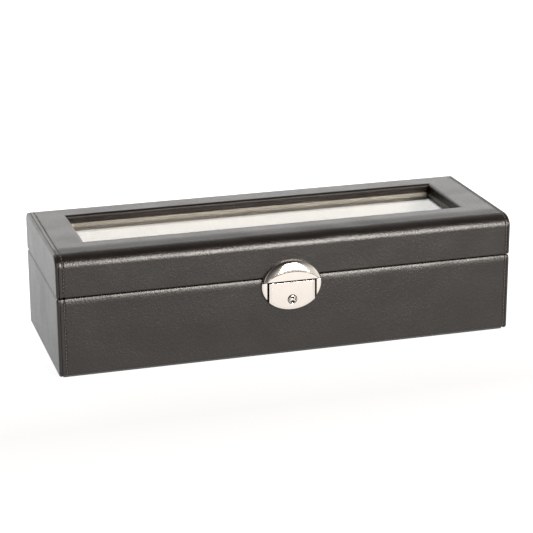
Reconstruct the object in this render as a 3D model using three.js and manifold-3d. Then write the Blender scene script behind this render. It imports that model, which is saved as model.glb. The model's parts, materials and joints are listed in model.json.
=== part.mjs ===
// Watch box: a long leather-covered wooden box with a glazed, hinged lid,
// an oval push-button lock and six removable watch cushions.
// Millimetres, +Z up, front face towards -Y, origin at the centre of the underside.
import * as THREE from 'three';
import { mergeVertices } from 'three/addons/utils/BufferGeometryUtils.js';
import Module from 'manifold-3d';

const wasm = await Module();
wasm.setup();

// Outside of the box
const LENGTH = 320;
const DEPTH = 114;
const FRONT = -DEPTH / 2;
const HEIGHT = 84;
const BASE_TOP = 55.5;
const LID_BOTTOM = 56.0;
const SPLIT = (BASE_TOP + LID_BOTTOM) / 2;
const LID_SHOULDER_DEPTH = 10.2;
const LID_SHOULDER_DROP = 7.8;
const LID_BACK_RADIUS = 7;
const FOOT_EDGE_RADIUS = 2.5;

// Wall layers, from the outside in, with a glue line between them
const LEATHER = 1.2;
const BOARD = 9;
const LINING = 1.1;
const GLUE = 0.1;
const BOARD_OUTER = LEATHER + GLUE;
const BOARD_INNER = BOARD_OUTER + BOARD;
const LINING_OUTER = BOARD_INNER + GLUE;
const LINING_INNER = LINING_OUTER + LINING;

// Floor and underside
const BOTTOM_CLOTH = 0.8;
const LEATHER_FOOT = BOTTOM_CLOTH + GLUE;
const FLOOR_BOARD = 6;
const FLOOR_BOARD_FOOT = LEATHER_FOOT + LEATHER + GLUE;
const FLOOR_LINING_FOOT = FLOOR_BOARD_FOOT + FLOOR_BOARD + GLUE;
const FLOOR_TOP = FLOOR_LINING_FOOT + LINING;
const LEATHER_TURN_UNDER = 9;

// Window in the lid
const WINDOW_HALF_LENGTH = 135.6;
const WINDOW_FRONT = -27.2;
const WINDOW_BACK = 36.7;
const WINDOW_WALL = 6;
const TOP_BOARD_UNDERSIDE = HEIGHT - WINDOW_WALL;
const GLASS_THICKNESS = 2.2;
const GLASS_LAP = 5;
const GLASS_TOP = TOP_BOARD_UNDERSIDE - GLUE;
const GLASS_UNDERSIDE = GLASS_TOP - GLASS_THICKNESS;
const GLASS_FRAME_THICKNESS = 3.2;
const GLASS_FRAME_TOP = GLASS_UNDERSIDE - GLUE;
const GLASS_FRAME_UNDERSIDE = GLASS_FRAME_TOP - GLASS_FRAME_THICKNESS;

// Compartments and cushions
const COMPARTMENTS = 6;
const DIVIDER = 3;
const DIVIDER_TOP = 48;
const CUSHION_WIDTH = 43;
const CUSHION_DEPTH = 82;
const CUSHION_HEIGHT = 34;
const CUSHION_ROUNDING = 14;
const CUSHION_FOOT = FLOOR_TOP + 0.2;

// Hinges
const HINGE_X = 95;
const HINGE_Y = DEPTH / 2 + 1.5;
const LEAF_HALF_LENGTH = 18;
const LEAF_THICKNESS = 1;
const LEAF_INNER_Y = 48.7;
const LEAF_GAP = 0.3;
const KNUCKLE_RADIUS = 1.9;
const KNUCKLE_HALF_LENGTH = 5.9;
const KNUCKLE_END_GAP = 0.2;
const PIN_RADIUS = 0.8;
const PIN_HOLE_RADIUS = 0.98;
const LEAF_RECESS = 0.3;
const SCREW_X = 12;
const SCREW_Y = 51.5;
const SCREW_HEAD_RADIUS = 1.7;
const SCREW_HEAD = 0.55;
const SCREW_SHANK_RADIUS = 0.9;
const SCREW_LENGTH = 9;
const SCREW_CLEARANCE = 0.17;

// Oval lock on the front face
const OVAL_HALF_WIDTH = 21.7;
const OVAL_HALF_HEIGHT = 17.1;
const OVAL_Z = 50.4;
const LOCK_SEAT_Y = FRONT - 0.1;
const LID_PLATE_FOOT = 54.2;
const LID_PLATE_RISE = 4.6;
const WING_RISE = 2.4;
const WING_INNER_X = 17.5;
const WING_TOP = 53.2;
const BUTTON_HALF_WIDTH = 16.1;
const BUTTON_FACE_Y = FRONT - 3.2;
const BUTTON_BACK_Y = FRONT + 0.5;
const STEM_TIP_Y = FRONT + 4;
const STEM_Z = [34.2, 35.4];
const KEY_Z = 40.5;
const KEY_RADIUS = 3.35;
const KEY_FACE_Y = FRONT - 3.9;
const KEY_BACK_Y = FRONT + 1.1;
const CASE_HALF_WIDTH = 18.2;
const CASE_WALL = 0.7;
const CASE_FRONT_Y = FRONT + BOARD_OUTER + 0.1;
const CASE_BACK_Y = FRONT + 9.5;
const CASE_FOOT = 31.4;
const CASE_TOP = 55.4;
const CASE_FIT = 0.2;
const PIVOT_Y = FRONT + 4.9;
const PIVOT_Z = 43;
const HOOK_FRONT_Y = FRONT + 6.5;
const HOOK_THICKNESS = 1;
const HOOK_HALF_WIDTH = 5;
const HOOK_FOOT = 45.5;
const HOOK_TOP = 61.5;

const material = (color, roughness, metalness = 0, opacity = 1) =>
  new THREE.MeshStandardMaterial({ color, roughness, metalness, opacity, transparent: opacity < 1 });

const materials = {
  leather: () => material(0x46423f, 0.42),
  board: () => material(0xb08a5e, 0.8),
  suede: () => material(0xd8ccb8, 0.95),
  cloth: () => material(0x1b1a19, 0.95),
  glass: () => material(0xf4f8f6, 0.03, 0, 0.3),
  nickel: () => material(0xd9d4cc, 0.12, 1),
  steel: () => material(0x9a978f, 0.35, 1),
};

// Solid modelling helpers

function toSolid(geometry) {
  const bare = geometry.index ? geometry.toNonIndexed() : geometry.clone();
  bare.deleteAttribute('normal');
  bare.deleteAttribute('uv');
  const merged = mergeVertices(bare, 1e-4);
  return new wasm.Manifold(new wasm.Mesh({
    numProp: 3,
    vertProperties: new Float32Array(merged.attributes.position.array),
    triVerts: new Uint32Array(merged.index.array),
  }));
}

function toGeometry(solid) {
  const mesh = solid.getMesh();
  const geometry = new THREE.BufferGeometry();
  geometry.setAttribute('position', new THREE.BufferAttribute(mesh.vertProperties, 3));
  geometry.setIndex(new THREE.BufferAttribute(mesh.triVerts, 1));
  return geometry;
}

function subtract(geometry, ...cutters) {
  let solid = toSolid(geometry);
  for (const cutter of cutters) solid = solid.subtract(toSolid(cutter));
  return toGeometry(solid);
}

function join(geometry, ...others) {
  let solid = toSolid(geometry);
  for (const other of others) solid = solid.add(toSolid(other));
  return toGeometry(solid);
}

function keepInside(geometry, limit) {
  return toGeometry(toSolid(geometry).intersect(toSolid(limit)));
}

// A box given by its two ends along each axis
function block([x0, x1], [y0, y1], [z0, z1]) {
  const geometry = new THREE.BoxGeometry(x1 - x0, y1 - y0, z1 - z0);
  return geometry.translate((x0 + x1) / 2, (y0 + y1) / 2, (z0 + z1) / 2);
}

// A rod of the given radius between two ends along one axis
function rod(axis, radius, [from, to], [a, b], segments = 20) {
  const geometry = new THREE.CylinderGeometry(radius, radius, to - from, segments);
  const middle = (from + to) / 2;
  if (axis === 'x') return geometry.rotateZ(Math.PI / 2).translate(middle, a, b);
  if (axis === 'y') return geometry.translate(0, middle, 0).translate(a, 0, b);
  return geometry.rotateX(Math.PI / 2).translate(a, b, middle);
}

// A closed outline in the Y-Z plane, extruded along X between two ends
function sweepAlongX(shape, [x0, x1], curveSegments = 8) {
  const geometry = new THREE.ExtrudeGeometry(shape, { depth: x1 - x0, bevelEnabled: false, curveSegments });
  const turn = new THREE.Matrix4().makeBasis(
    new THREE.Vector3(0, 1, 0),
    new THREE.Vector3(0, 0, 1),
    new THREE.Vector3(1, 0, 0),
  );
  return geometry.applyMatrix4(turn).translate(x0, 0, 0);
}

function mesh(name, geometry, finish, parent) {
  const node = new THREE.Mesh(geometry, finish());
  node.name = name;
  parent.add(node);
  return node;
}

// A flat rectangular piece, placed by its centre
function panel(name, xs, ys, zs, finish, parent, ...cutters) {
  const centre = [xs, ys, zs].map(([low, high]) => (low + high) / 2);
  const size = [xs, ys, zs].map(([low, high]) => high - low);
  let geometry = new THREE.BoxGeometry(...size);
  if (cutters.length) {
    const local = cutters.map((cutter) => cutter.clone().translate(...centre.map((c) => -c)));
    geometry = subtract(geometry, ...local);
  }
  const node = mesh(name, geometry, finish, parent);
  node.position.set(...centre);
  return node;
}

const halfX = (inset) => LENGTH / 2 - inset;
const halfY = (inset) => DEPTH / 2 - inset;
const span = (half) => [-half, half];
const between = (a, b) => [Math.min(a, b), Math.max(a, b)];

// Outlines of the two wrapped shells, seen from the end

// Upright oblong with an elliptical front shoulder and a round back one, inset from the lid's outer face
function lidOutline(inset, foot) {
  const half = halfY(inset);
  const top = HEIGHT - inset;
  const radius = LID_BACK_RADIUS - inset;
  const depth = LID_SHOULDER_DEPTH - inset;
  const drop = LID_SHOULDER_DROP - inset;
  const shape = new THREE.Shape();
  shape.moveTo(-half, foot);
  shape.lineTo(half, foot);
  shape.lineTo(half, top - radius);
  shape.absarc(half - radius, top - radius, radius, 0, Math.PI / 2, false);
  shape.lineTo(-half + depth, top);
  shape.absellipse(-half + depth, top - drop, depth, drop, Math.PI / 2, Math.PI, false, 0);
  shape.closePath();
  return shape;
}

// Upright oblong with rounded bottom corners, inset from the base's outer face
function baseOutline(inset, top) {
  const half = halfY(inset);
  const foot = LEATHER_FOOT + inset;
  const radius = Math.max(FOOT_EDGE_RADIUS - inset, 0.5);
  const shape = new THREE.Shape();
  shape.moveTo(half, top);
  shape.lineTo(-half, top);
  shape.lineTo(-half, foot + radius);
  shape.absarc(-half + radius, foot + radius, radius, Math.PI, 1.5 * Math.PI, false);
  shape.lineTo(half - radius, foot);
  shape.absarc(half - radius, foot + radius, radius, 1.5 * Math.PI, 2 * Math.PI, false);
  shape.closePath();
  return shape;
}

// Cutters for the hardware

function hingeCutters() {
  const cutters = [];
  for (const x of [-HINGE_X, HINGE_X]) {
    const xs = [x - LEAF_HALF_LENGTH - LEAF_RECESS, x + LEAF_HALF_LENGTH + LEAF_RECESS];
    const rim = SPLIT - BASE_TOP + LEATHER + GLUE;
    cutters.push(block(xs, [LEAF_INNER_Y - LEAF_RECESS, DEPTH], [SPLIT - rim, SPLIT + rim]));
    const barrel = KNUCKLE_RADIUS + LEAF_RECESS;
    cutters.push(block(xs, [HINGE_Y - barrel, DEPTH], [SPLIT - barrel, SPLIT + barrel]));
  }
  return cutters;
}

function screwPlaces() {
  const places = [];
  for (const x of [-HINGE_X, HINGE_X]) {
    for (const offset of [-SCREW_X, SCREW_X]) places.push(x + offset);
  }
  return places;
}

function pilotHoles(direction) {
  const reach = SPLIT + direction * (SCREW_LENGTH + 1.5);
  const radius = SCREW_SHANK_RADIUS + SCREW_CLEARANCE;
  return screwPlaces().map((x) => rod('z', radius, between(SPLIT, reach), [x, SCREW_Y], 12));
}

// The oval outline of the lock, grown by a margin, from one depth to another
function ovalColumn(margin, [y0, y1], segments = 56) {
  const column = new THREE.CylinderGeometry(1, 1, y1 - y0, segments);
  column.scale(OVAL_HALF_WIDTH + margin, 1, OVAL_HALF_HEIGHT + margin);
  return column.translate(0, (y0 + y1) / 2, OVAL_Z);
}

// The opening in the leather: the oval's lower part, no wider than the case
function lockMouth() {
  const half = CASE_HALF_WIDTH + CASE_FIT;
  const limit = block(span(half), [-DEPTH, 0], [CASE_FOOT, LID_BOTTOM]);
  return keepInside(ovalColumn(0.3, [FRONT - 1, CASE_FRONT_Y]), limit);
}

function lockPocket() {
  const half = CASE_HALF_WIDTH + CASE_FIT;
  return block(span(half), [CASE_FRONT_Y - 0.2, CASE_BACK_Y + CASE_FIT], [CASE_FOOT - CASE_FIT, LID_BOTTOM]);
}

function hookSlot() {
  const half = HOOK_HALF_WIDTH + 0.3;
  const front = HOOK_FRONT_Y - 0.3;
  const back = HOOK_FRONT_Y + HOOK_THICKNESS + 0.3;
  const upright = block(span(half), [front, back], [LID_BOTTOM - 1, HOOK_TOP + 0.3]);
  const arm = block(span(half), [FRONT - 1, back], [HOOK_TOP - HOOK_THICKNESS - 0.3, HOOK_TOP + 0.3]);
  return join(upright, arm);
}

// Base: five boards, the leather wrap, the bottom cloth and the lining

function makeBase() {
  const base = new THREE.Group();
  const boardTop = BASE_TOP - LEATHER - GLUE;
  const boardZ = [FLOOR_BOARD_FOOT, boardTop];
  const outerX = halfX(BOARD_OUTER);
  const innerX = halfX(LINING_OUTER);
  const innerY = halfY(BOARD_INNER);
  const gapY = halfY(LINING_OUTER);
  const board = materials.board;
  panel('base_floor_board', span(innerX), span(gapY), [FLOOR_BOARD_FOOT, FLOOR_BOARD_FOOT + FLOOR_BOARD], board, base);
  const outline = sweepAlongX(baseOutline(BOARD_OUTER, boardTop), span(outerX));
  const front = keepInside(outline, block(span(LENGTH), [-DEPTH, -innerY], [0, HEIGHT]));
  mesh('base_front_board', subtract(front, lockPocket()), board, base);
  const back = keepInside(outline, block(span(LENGTH), [innerY, DEPTH], [0, HEIGHT]));
  mesh('base_back_board', subtract(back, ...pilotHoles(-1)), board, base);
  panel('base_left_board', [-outerX, -halfX(BOARD_INNER)], span(gapY), boardZ, board, base);
  panel('base_right_board', [halfX(BOARD_INNER), outerX], span(gapY), boardZ, board, base);
  makeBaseLeather(base);
  panel('bottom_cloth', span(halfX(3)), span(halfY(3)), [0, BOTTOM_CLOTH], materials.cloth, base);
  makeBaseLining(base);
  return base;
}

function makeBaseLeather(base) {
  const wrap = subtract(
    sweepAlongX(baseOutline(0, BASE_TOP), span(halfX(0))),
    sweepAlongX(baseOutline(LEATHER, BASE_TOP - LEATHER), span(halfX(-1))),
    block(span(halfX(-1)), span(halfY(BOARD_INNER)), [FLOOR_TOP, HEIGHT]),
    block(span(halfX(-1)), span(halfY(LEATHER_TURN_UNDER)), [0, FLOOR_TOP]),
  );
  const front = block(span(halfX(-1)), [-DEPTH, 0], [-1, HEIGHT]);
  const back = block(span(halfX(-1)), [0, DEPTH], [-1, HEIGHT]);
  const lockRelief = join(lockMouth(), lockPocket());
  mesh('base_front_leather', subtract(keepInside(wrap, front), lockRelief), materials.leather, base);
  mesh('base_back_leather', subtract(keepInside(wrap, back), ...hingeCutters()), materials.leather, base);
  const rimY = span(halfY(LINING_OUTER));
  for (const [name, side] of [['left', -1], ['right', 1]]) {
    const xs = between(side * halfX(0), side * halfX(LEATHER));
    const wall = sweepAlongX(baseOutline(BOARD_OUTER, BASE_TOP - LEATHER - GLUE), xs);
    const turn = block(xs, rimY, [BASE_TOP - LEATHER - 1, BASE_TOP]);
    const rim = block(between(side * halfX(0), side * halfX(BOARD_INNER)), rimY, [BASE_TOP - LEATHER, BASE_TOP]);
    mesh(`base_${name}_leather`, join(wall, turn, rim), materials.leather, base);
  }
}

// A frame lining four walls, open through the middle
function liningRing(name, [z0, z1], parent) {
  const ring = subtract(
    block(span(halfX(LINING_OUTER)), span(halfY(LINING_OUTER)), [z0, z1]),
    block(span(halfX(LINING_INNER)), span(halfY(LINING_INNER)), [z0 - 1, z1 + 1]),
  );
  mesh(name, ring, materials.suede, parent);
}

function makeBaseLining(base) {
  const inside = span(halfX(LINING_OUTER));
  const insideY = span(halfY(LINING_OUTER));
  panel('floor_lining', inside, insideY, [FLOOR_LINING_FOOT, FLOOR_TOP], materials.suede, base);
  liningRing('base_lining', [FLOOR_TOP + GLUE, BASE_TOP - LEATHER - GLUE], base);
  const half = halfY(LINING_INNER) - 0.2;
  for (let i = 1; i < COMPARTMENTS; i += 1) {
    const x = compartmentCentre(i) - (compartmentWidth() + DIVIDER) / 2;
    const name = `divider_${i}`;
    panel(name, [x - DIVIDER / 2, x + DIVIDER / 2], span(half), [FLOOR_TOP + GLUE, DIVIDER_TOP], materials.suede, base);
  }
}

function compartmentWidth() {
  return (2 * halfX(LINING_INNER) - (COMPARTMENTS - 1) * DIVIDER) / COMPARTMENTS;
}

function compartmentCentre(index) {
  return -halfX(LINING_INNER) + compartmentWidth() / 2 + index * (compartmentWidth() + DIVIDER);
}

// Cushions: plain rounded pads, one in each compartment

function cushionOutline() {
  const half = CUSHION_DEPTH / 2;
  const radius = CUSHION_ROUNDING;
  const shape = new THREE.Shape();
  shape.moveTo(-half + radius, 0);
  shape.lineTo(half - radius, 0);
  shape.absarc(half - radius, radius, radius, -Math.PI / 2, 0, false);
  shape.lineTo(half, CUSHION_HEIGHT - radius);
  shape.absarc(half - radius, CUSHION_HEIGHT - radius, radius, 0, Math.PI / 2, false);
  shape.lineTo(-half + radius, CUSHION_HEIGHT);
  shape.absarc(-half + radius, CUSHION_HEIGHT - radius, radius, Math.PI / 2, Math.PI, false);
  shape.lineTo(-half, radius);
  shape.absarc(-half + radius, radius, radius, Math.PI, 1.5 * Math.PI, false);
  return shape;
}

function makeCushions() {
  const cushions = new THREE.Group();
  for (let i = 0; i < COMPARTMENTS; i += 1) {
    const pad = sweepAlongX(cushionOutline(), span(CUSHION_WIDTH / 2), 6);
    const node = mesh(`cushion_${i + 1}`, pad, materials.suede, cushions);
    node.position.set(compartmentCentre(i), 0, CUSHION_FOOT);
  }
  return cushions;
}

// Lid: four wall boards, the top board with the window, the leather wrap,
// the glass pane with the frame that holds it up, and the lining

const windowBlock = (margin, zs) => block(
  span(WINDOW_HALF_LENGTH + margin),
  [WINDOW_FRONT - margin, WINDOW_BACK + margin],
  zs,
);

function makeLid() {
  const lid = new THREE.Group();
  const low = LID_BOTTOM + LEATHER + GLUE;
  const outerX = halfX(BOARD_OUTER);
  const innerY = halfY(BOARD_INNER);
  const gapY = halfY(LINING_OUTER);
  const outline = sweepAlongX(lidOutline(BOARD_OUTER, low), span(outerX));
  const front = keepInside(outline, block(span(LENGTH), [-DEPTH, -innerY], [0, HEIGHT]));
  mesh('lid_front_board', subtract(front, hookSlot()), materials.board, lid);
  const back = keepInside(outline, block(span(LENGTH), [innerY, DEPTH], [0, HEIGHT]));
  mesh('lid_back_board', subtract(back, ...pilotHoles(1)), materials.board, lid);
  const wallZ = [low, HEIGHT - BOARD_OUTER];
  panel('lid_left_board', [-outerX, -halfX(BOARD_INNER)], span(gapY), wallZ, materials.board, lid);
  panel('lid_right_board', [halfX(BOARD_INNER), outerX], span(gapY), wallZ, materials.board, lid);
  const top = [TOP_BOARD_UNDERSIDE, HEIGHT - BOARD_OUTER];
  const opening = windowBlock(BOARD_OUTER, [0, HEIGHT]);
  panel('lid_top_board', span(halfX(LINING_OUTER)), span(gapY), top, materials.board, lid, opening);
  makeLidLeather(lid);
  makeWindow(lid);
  liningRing('lid_lining', [low, GLASS_FRAME_UNDERSIDE - GLUE], lid);
  return lid;
}

function makeLidLeather(lid) {
  const hollow = subtract(
    sweepAlongX(lidOutline(LEATHER, LID_BOTTOM + LEATHER), span(halfX(-1))),
    windowBlock(LEATHER, [TOP_BOARD_UNDERSIDE, HEIGHT]),
  );
  const wrap = subtract(
    sweepAlongX(lidOutline(0, LID_BOTTOM), span(halfX(0))),
    hollow,
    block(span(halfX(-1)), span(halfY(BOARD_INNER)), [0, TOP_BOARD_UNDERSIDE]),
    windowBlock(0, [0, HEIGHT + 1]),
    hookSlot(),
    ...hingeCutters(),
  );
  mesh('lid_wrap_leather', wrap, materials.leather, lid);
  const rimY = span(halfY(LINING_OUTER));
  for (const [name, side] of [['left', -1], ['right', 1]]) {
    const xs = between(side * halfX(0), side * halfX(LEATHER));
    const wall = sweepAlongX(lidOutline(BOARD_OUTER, LID_BOTTOM + LEATHER + GLUE), xs);
    const turn = block(xs, rimY, [LID_BOTTOM, LID_BOTTOM + LEATHER + 1]);
    const rim = block(between(side * halfX(0), side * halfX(BOARD_INNER)), rimY, [LID_BOTTOM, LID_BOTTOM + LEATHER]);
    mesh(`lid_${name}_leather`, join(wall, turn, rim), materials.leather, lid);
  }
}

function makeWindow(lid) {
  const glass = [WINDOW_HALF_LENGTH + GLASS_LAP, WINDOW_FRONT - GLASS_LAP, WINDOW_BACK + GLASS_LAP];
  panel('glass_pane', span(glass[0]), [glass[1], glass[2]], [GLASS_UNDERSIDE, GLASS_TOP], materials.glass, lid);
  const zs = [GLASS_FRAME_UNDERSIDE, GLASS_FRAME_TOP];
  const opening = windowBlock(0, [0, HEIGHT]);
  panel('glass_frame', span(halfX(LINING_OUTER)), span(halfY(LINING_OUTER)), zs, materials.suede, lid, opening);
}

// Lock

// The oval seen from the front, with a rising profile towards the viewer:
// pairs of (share of the radius, rise from the seat)
function ovalBoss(profile, segments = 56) {
  const points = profile.map(([share, rise]) => new THREE.Vector2(share, rise));
  const boss = new THREE.LatheGeometry(points, segments);
  boss.rotateX(Math.PI);
  boss.scale(OVAL_HALF_WIDTH, 1, OVAL_HALF_HEIGHT);
  return boss.translate(0, LOCK_SEAT_Y, OVAL_Z);
}

function makeLidLock(lid) {
  const rise = LID_PLATE_RISE;
  const dome = ovalBoss([[0, 0], [1, 0], [1, 0.8], [0.94, 2.3], [0.84, 3.5], [0.72, 4.2], [0.56, rise], [0, rise]]);
  const plate = keepInside(dome, block(span(LENGTH), [-DEPTH, 0], [LID_PLATE_FOOT, HEIGHT]));
  mesh('lock_lid_plate', plate, materials.nickel, lid);
  const back = HOOK_FRONT_Y + HOOK_THICKNESS;
  const upright = block(span(HOOK_HALF_WIDTH), [HOOK_FRONT_Y, back], [HOOK_FOOT, HOOK_TOP]);
  const arm = block(span(HOOK_HALF_WIDTH), [FRONT, back], [HOOK_TOP - HOOK_THICKNESS, HOOK_TOP]);
  const eye = block(span(3), [HOOK_FRONT_Y - 1, back + 1], [HOOK_FOOT + 2, HOOK_FOOT + 6]);
  mesh('lock_hook', subtract(join(upright, arm), eye), materials.steel, lid);
}

function makeLockBody(lock) {
  const boss = ovalBoss([[0, 0], [1, 0], [1, 1.3], [0.97, 2.1], [0.92, WING_RISE], [0, WING_RISE]]);
  const inner = CASE_HALF_WIDTH - CASE_WALL;
  const wings = subtract(
    keepInside(boss, block(span(LENGTH), [-DEPTH, 0], [0, WING_TOP])),
    block(span(WING_INNER_X), [-DEPTH, 0], [0, HEIGHT]),
  );
  const shell = subtract(
    block(span(CASE_HALF_WIDTH), [CASE_FRONT_Y, CASE_BACK_Y], [CASE_FOOT, CASE_TOP]),
    block(span(inner), [-DEPTH, CASE_BACK_Y - CASE_WALL], [CASE_FOOT + CASE_WALL, CASE_TOP - CASE_WALL]),
    block(span(HOOK_HALF_WIDTH + 0.6), [HOOK_FRONT_Y - 1.2, HOOK_FRONT_Y + HOOK_THICKNESS + 0.5], [CASE_FOOT + 5, HEIGHT]),
  );
  const cheeks = [-1, 1].map((side) => block(
    between(side * inner, side * CASE_HALF_WIDTH),
    [LOCK_SEAT_Y - 1, CASE_FRONT_Y + 1],
    [OVAL_Z - 6, WING_TOP],
  ));
  mesh('lock_body', join(shell, wings, ...cheeks), materials.nickel, lock);
}

function makeButton(lock) {
  const rise = LOCK_SEAT_Y - BUTTON_FACE_Y;
  const face = ovalBoss([[0, 0], [1, 0], [1, rise - 0.7], [0.965, rise], [0, rise]]);
  const skirt = ovalColumn(0, [BUTTON_FACE_Y + 1, BUTTON_BACK_Y]);
  const limit = block(span(BUTTON_HALF_WIDTH), [-DEPTH, 0], [0, WING_TOP]);
  const stem = block(span(3.5), [BUTTON_BACK_Y - 1, STEM_TIP_Y], STEM_Z);
  const keyHole = rod('y', KEY_RADIUS + 0.15, [-DEPTH, 0], [0, KEY_Z], 28);
  mesh('push_button', join(subtract(keepInside(join(face, skirt), limit), keyHole), stem), materials.nickel, lock);
}

function makeKeyCylinder(lock) {
  const plug = rod('y', KEY_RADIUS, [KEY_FACE_Y, KEY_BACK_Y], [0, KEY_Z], 28);
  const cam = block([0, 5], [KEY_BACK_Y - 0.5, KEY_BACK_Y], [KEY_Z - 1, KEY_Z + 1]);
  const keyway = rod('y', 2.1, [KEY_FACE_Y - 1, KEY_FACE_Y + 3], [0, KEY_Z], 20);
  const post = rod('y', 0.75, [KEY_FACE_Y + 0.3, KEY_BACK_Y], [0, KEY_Z], 12);
  mesh('key_cylinder', join(subtract(join(plug, cam), keyway), post), materials.nickel, lock);
}

function makeLatch(lock) {
  const barrel = rod('x', 1.4, span(4), [PIVOT_Y, PIVOT_Z], 20);
  const tail = block(span(4), [PIVOT_Y - 0.6, PIVOT_Y + 0.6], [PIVOT_Z - 9, PIVOT_Z]);
  const arm = block(span(2.4), [PIVOT_Y - 0.6, PIVOT_Y + 0.6], [PIVOT_Z, PIVOT_Z + 7.8]);
  const nose = block(span(2.4), [PIVOT_Y, PIVOT_Y + 2.5], [PIVOT_Z + 5.2, PIVOT_Z + 7.8]);
  const hole = rod('x', 0.78, span(6), [PIVOT_Y, PIVOT_Z], 16);
  mesh('latch_lever', subtract(join(barrel, tail, arm, nose), hole), materials.steel, lock);
  const pinHalf = CASE_HALF_WIDTH - CASE_WALL - 0.1;
  mesh('latch_pin', rod('x', 0.6, span(pinHalf), [PIVOT_Y, PIVOT_Z], 16), materials.steel, lock);
}

// Coil spring behind the button, drawn at its pressed length
function makeSpring(lock) {
  const turns = 5;
  const coilRadius = 2.2;
  const wireRadius = 0.3;
  const back = CASE_BACK_Y - CASE_WALL - 0.4;
  const front = FRONT + 2.8;
  const points = [];
  const steps = turns * 8;
  for (let i = 0; i <= steps; i += 1) {
    const angle = (i / steps) * turns * 2 * Math.PI;
    const y = back + (front - back) * (i / steps);
    points.push(new THREE.Vector3(coilRadius * Math.cos(angle), y, coilRadius * Math.sin(angle)));
  }
  const wire = new THREE.Shape();
  wire.absarc(0, 0, wireRadius, 0, 2 * Math.PI, false);
  const extrudePath = new THREE.CatmullRomCurve3(points);
  const coil = new THREE.ExtrudeGeometry(wire, { steps, curveSegments: 3, bevelEnabled: false, extrudePath });
  const spring = mesh('button_spring', coil, materials.steel, lock);
  spring.position.set(11, 0, 49);
}

function makeBaseLock() {
  const lock = new THREE.Group();
  makeLockBody(lock);
  makeButton(lock);
  makeKeyCylinder(lock);
  makeLatch(lock);
  makeSpring(lock);
  return lock;
}

// Hinges: two leaves with interleaved knuckles, a pin and two screws in each leaf

function leaf(direction) {
  const near = SPLIT + direction * (LEAF_GAP / 2);
  const far = near + direction * LEAF_THICKNESS;
  const plate = block(span(LEAF_HALF_LENGTH), [LEAF_INNER_Y, HINGE_Y], between(near, far));
  const centre = [HINGE_Y, SPLIT];
  const inner = KNUCKLE_HALF_LENGTH;
  const outer = KNUCKLE_HALF_LENGTH + KNUCKLE_END_GAP;
  const knuckles = direction > 0
    ? [span(inner)]
    : [[-LEAF_HALF_LENGTH, -outer], [outer, LEAF_HALF_LENGTH]];
  const gaps = direction > 0
    ? [[-LEAF_HALF_LENGTH - 1, -inner], [inner, LEAF_HALF_LENGTH + 1]]
    : [span(outer)];
  const clear = KNUCKLE_RADIUS + 0.2;
  const notches = gaps.map((xs) => block(xs, [HINGE_Y - clear, HINGE_Y + 1], [0, HEIGHT]));
  const barrels = knuckles.map((xs) => rod('x', KNUCKLE_RADIUS, xs, centre, 20));
  const bore = rod('x', PIN_HOLE_RADIUS, span(LEAF_HALF_LENGTH + 1), centre, 16);
  const holes = [-SCREW_X, SCREW_X].flatMap((x) => {
    const seat = near + direction * (SCREW_HEAD + 0.1);
    const mouth = near - direction;
    const headHole = rod('z', SCREW_HEAD_RADIUS + SCREW_CLEARANCE, between(mouth, seat), [x, SCREW_Y], 16);
    const shankHole = rod('z', SCREW_SHANK_RADIUS + SCREW_CLEARANCE, between(near, far + direction), [x, SCREW_Y], 12);
    return [headHole, shankHole];
  });
  return subtract(join(subtract(plate, ...notches), ...barrels), bore, ...holes);
}

function screw(direction) {
  const head = SCREW_HEAD_RADIUS;
  const shank = SCREW_SHANK_RADIUS;
  const profile = [[0, 0], [head, 0], [head, SCREW_HEAD], [shank, SCREW_HEAD]];
  profile.push([shank, SCREW_LENGTH - 1.2], [0, SCREW_LENGTH]);
  const lathe = new THREE.LatheGeometry(profile.map(([r, h]) => new THREE.Vector2(r, h)), 12);
  return lathe.rotateX(direction > 0 ? Math.PI / 2 : -Math.PI / 2);
}

function makeHinges() {
  const hinges = new THREE.Group();
  for (const [index, x] of [-HINGE_X, HINGE_X].entries()) {
    const hinge = new THREE.Group();
    hinge.position.x = x;
    const label = `hinge_${index + 1}`;
    mesh(`${label}_base_leaf`, leaf(-1), materials.steel, hinge);
    mesh(`${label}_lid_leaf`, leaf(1), materials.steel, hinge);
    const pin = rod('x', PIN_RADIUS, span(LEAF_HALF_LENGTH), [HINGE_Y, SPLIT], 16);
    mesh(`${label}_pin`, pin, materials.steel, hinge);
    for (const [side, direction] of [['base', -1], ['lid', 1]]) {
      for (const [number, offset] of [-SCREW_X, SCREW_X].entries()) {
        const node = mesh(`${label}_${side}_screw_${number + 1}`, screw(direction), materials.steel, hinge);
        node.position.set(offset, SCREW_Y, SPLIT + direction * (LEAF_GAP / 2 + 0.05));
      }
    }
    hinges.add(hinge);
  }
  return hinges;
}

const watchBox = new THREE.Group();
const lid = makeLid();
makeLidLock(lid);
watchBox.add(makeBase(), makeCushions(), makeBaseLock(), makeHinges(), lid);

export default watchBox;
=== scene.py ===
"""Watch box: leather-covered box with a glazed lid, an oval push-button lock and six cushions."""
import json
import math

import bmesh
import bpy
from mathutils import Matrix, Vector, noise


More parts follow.
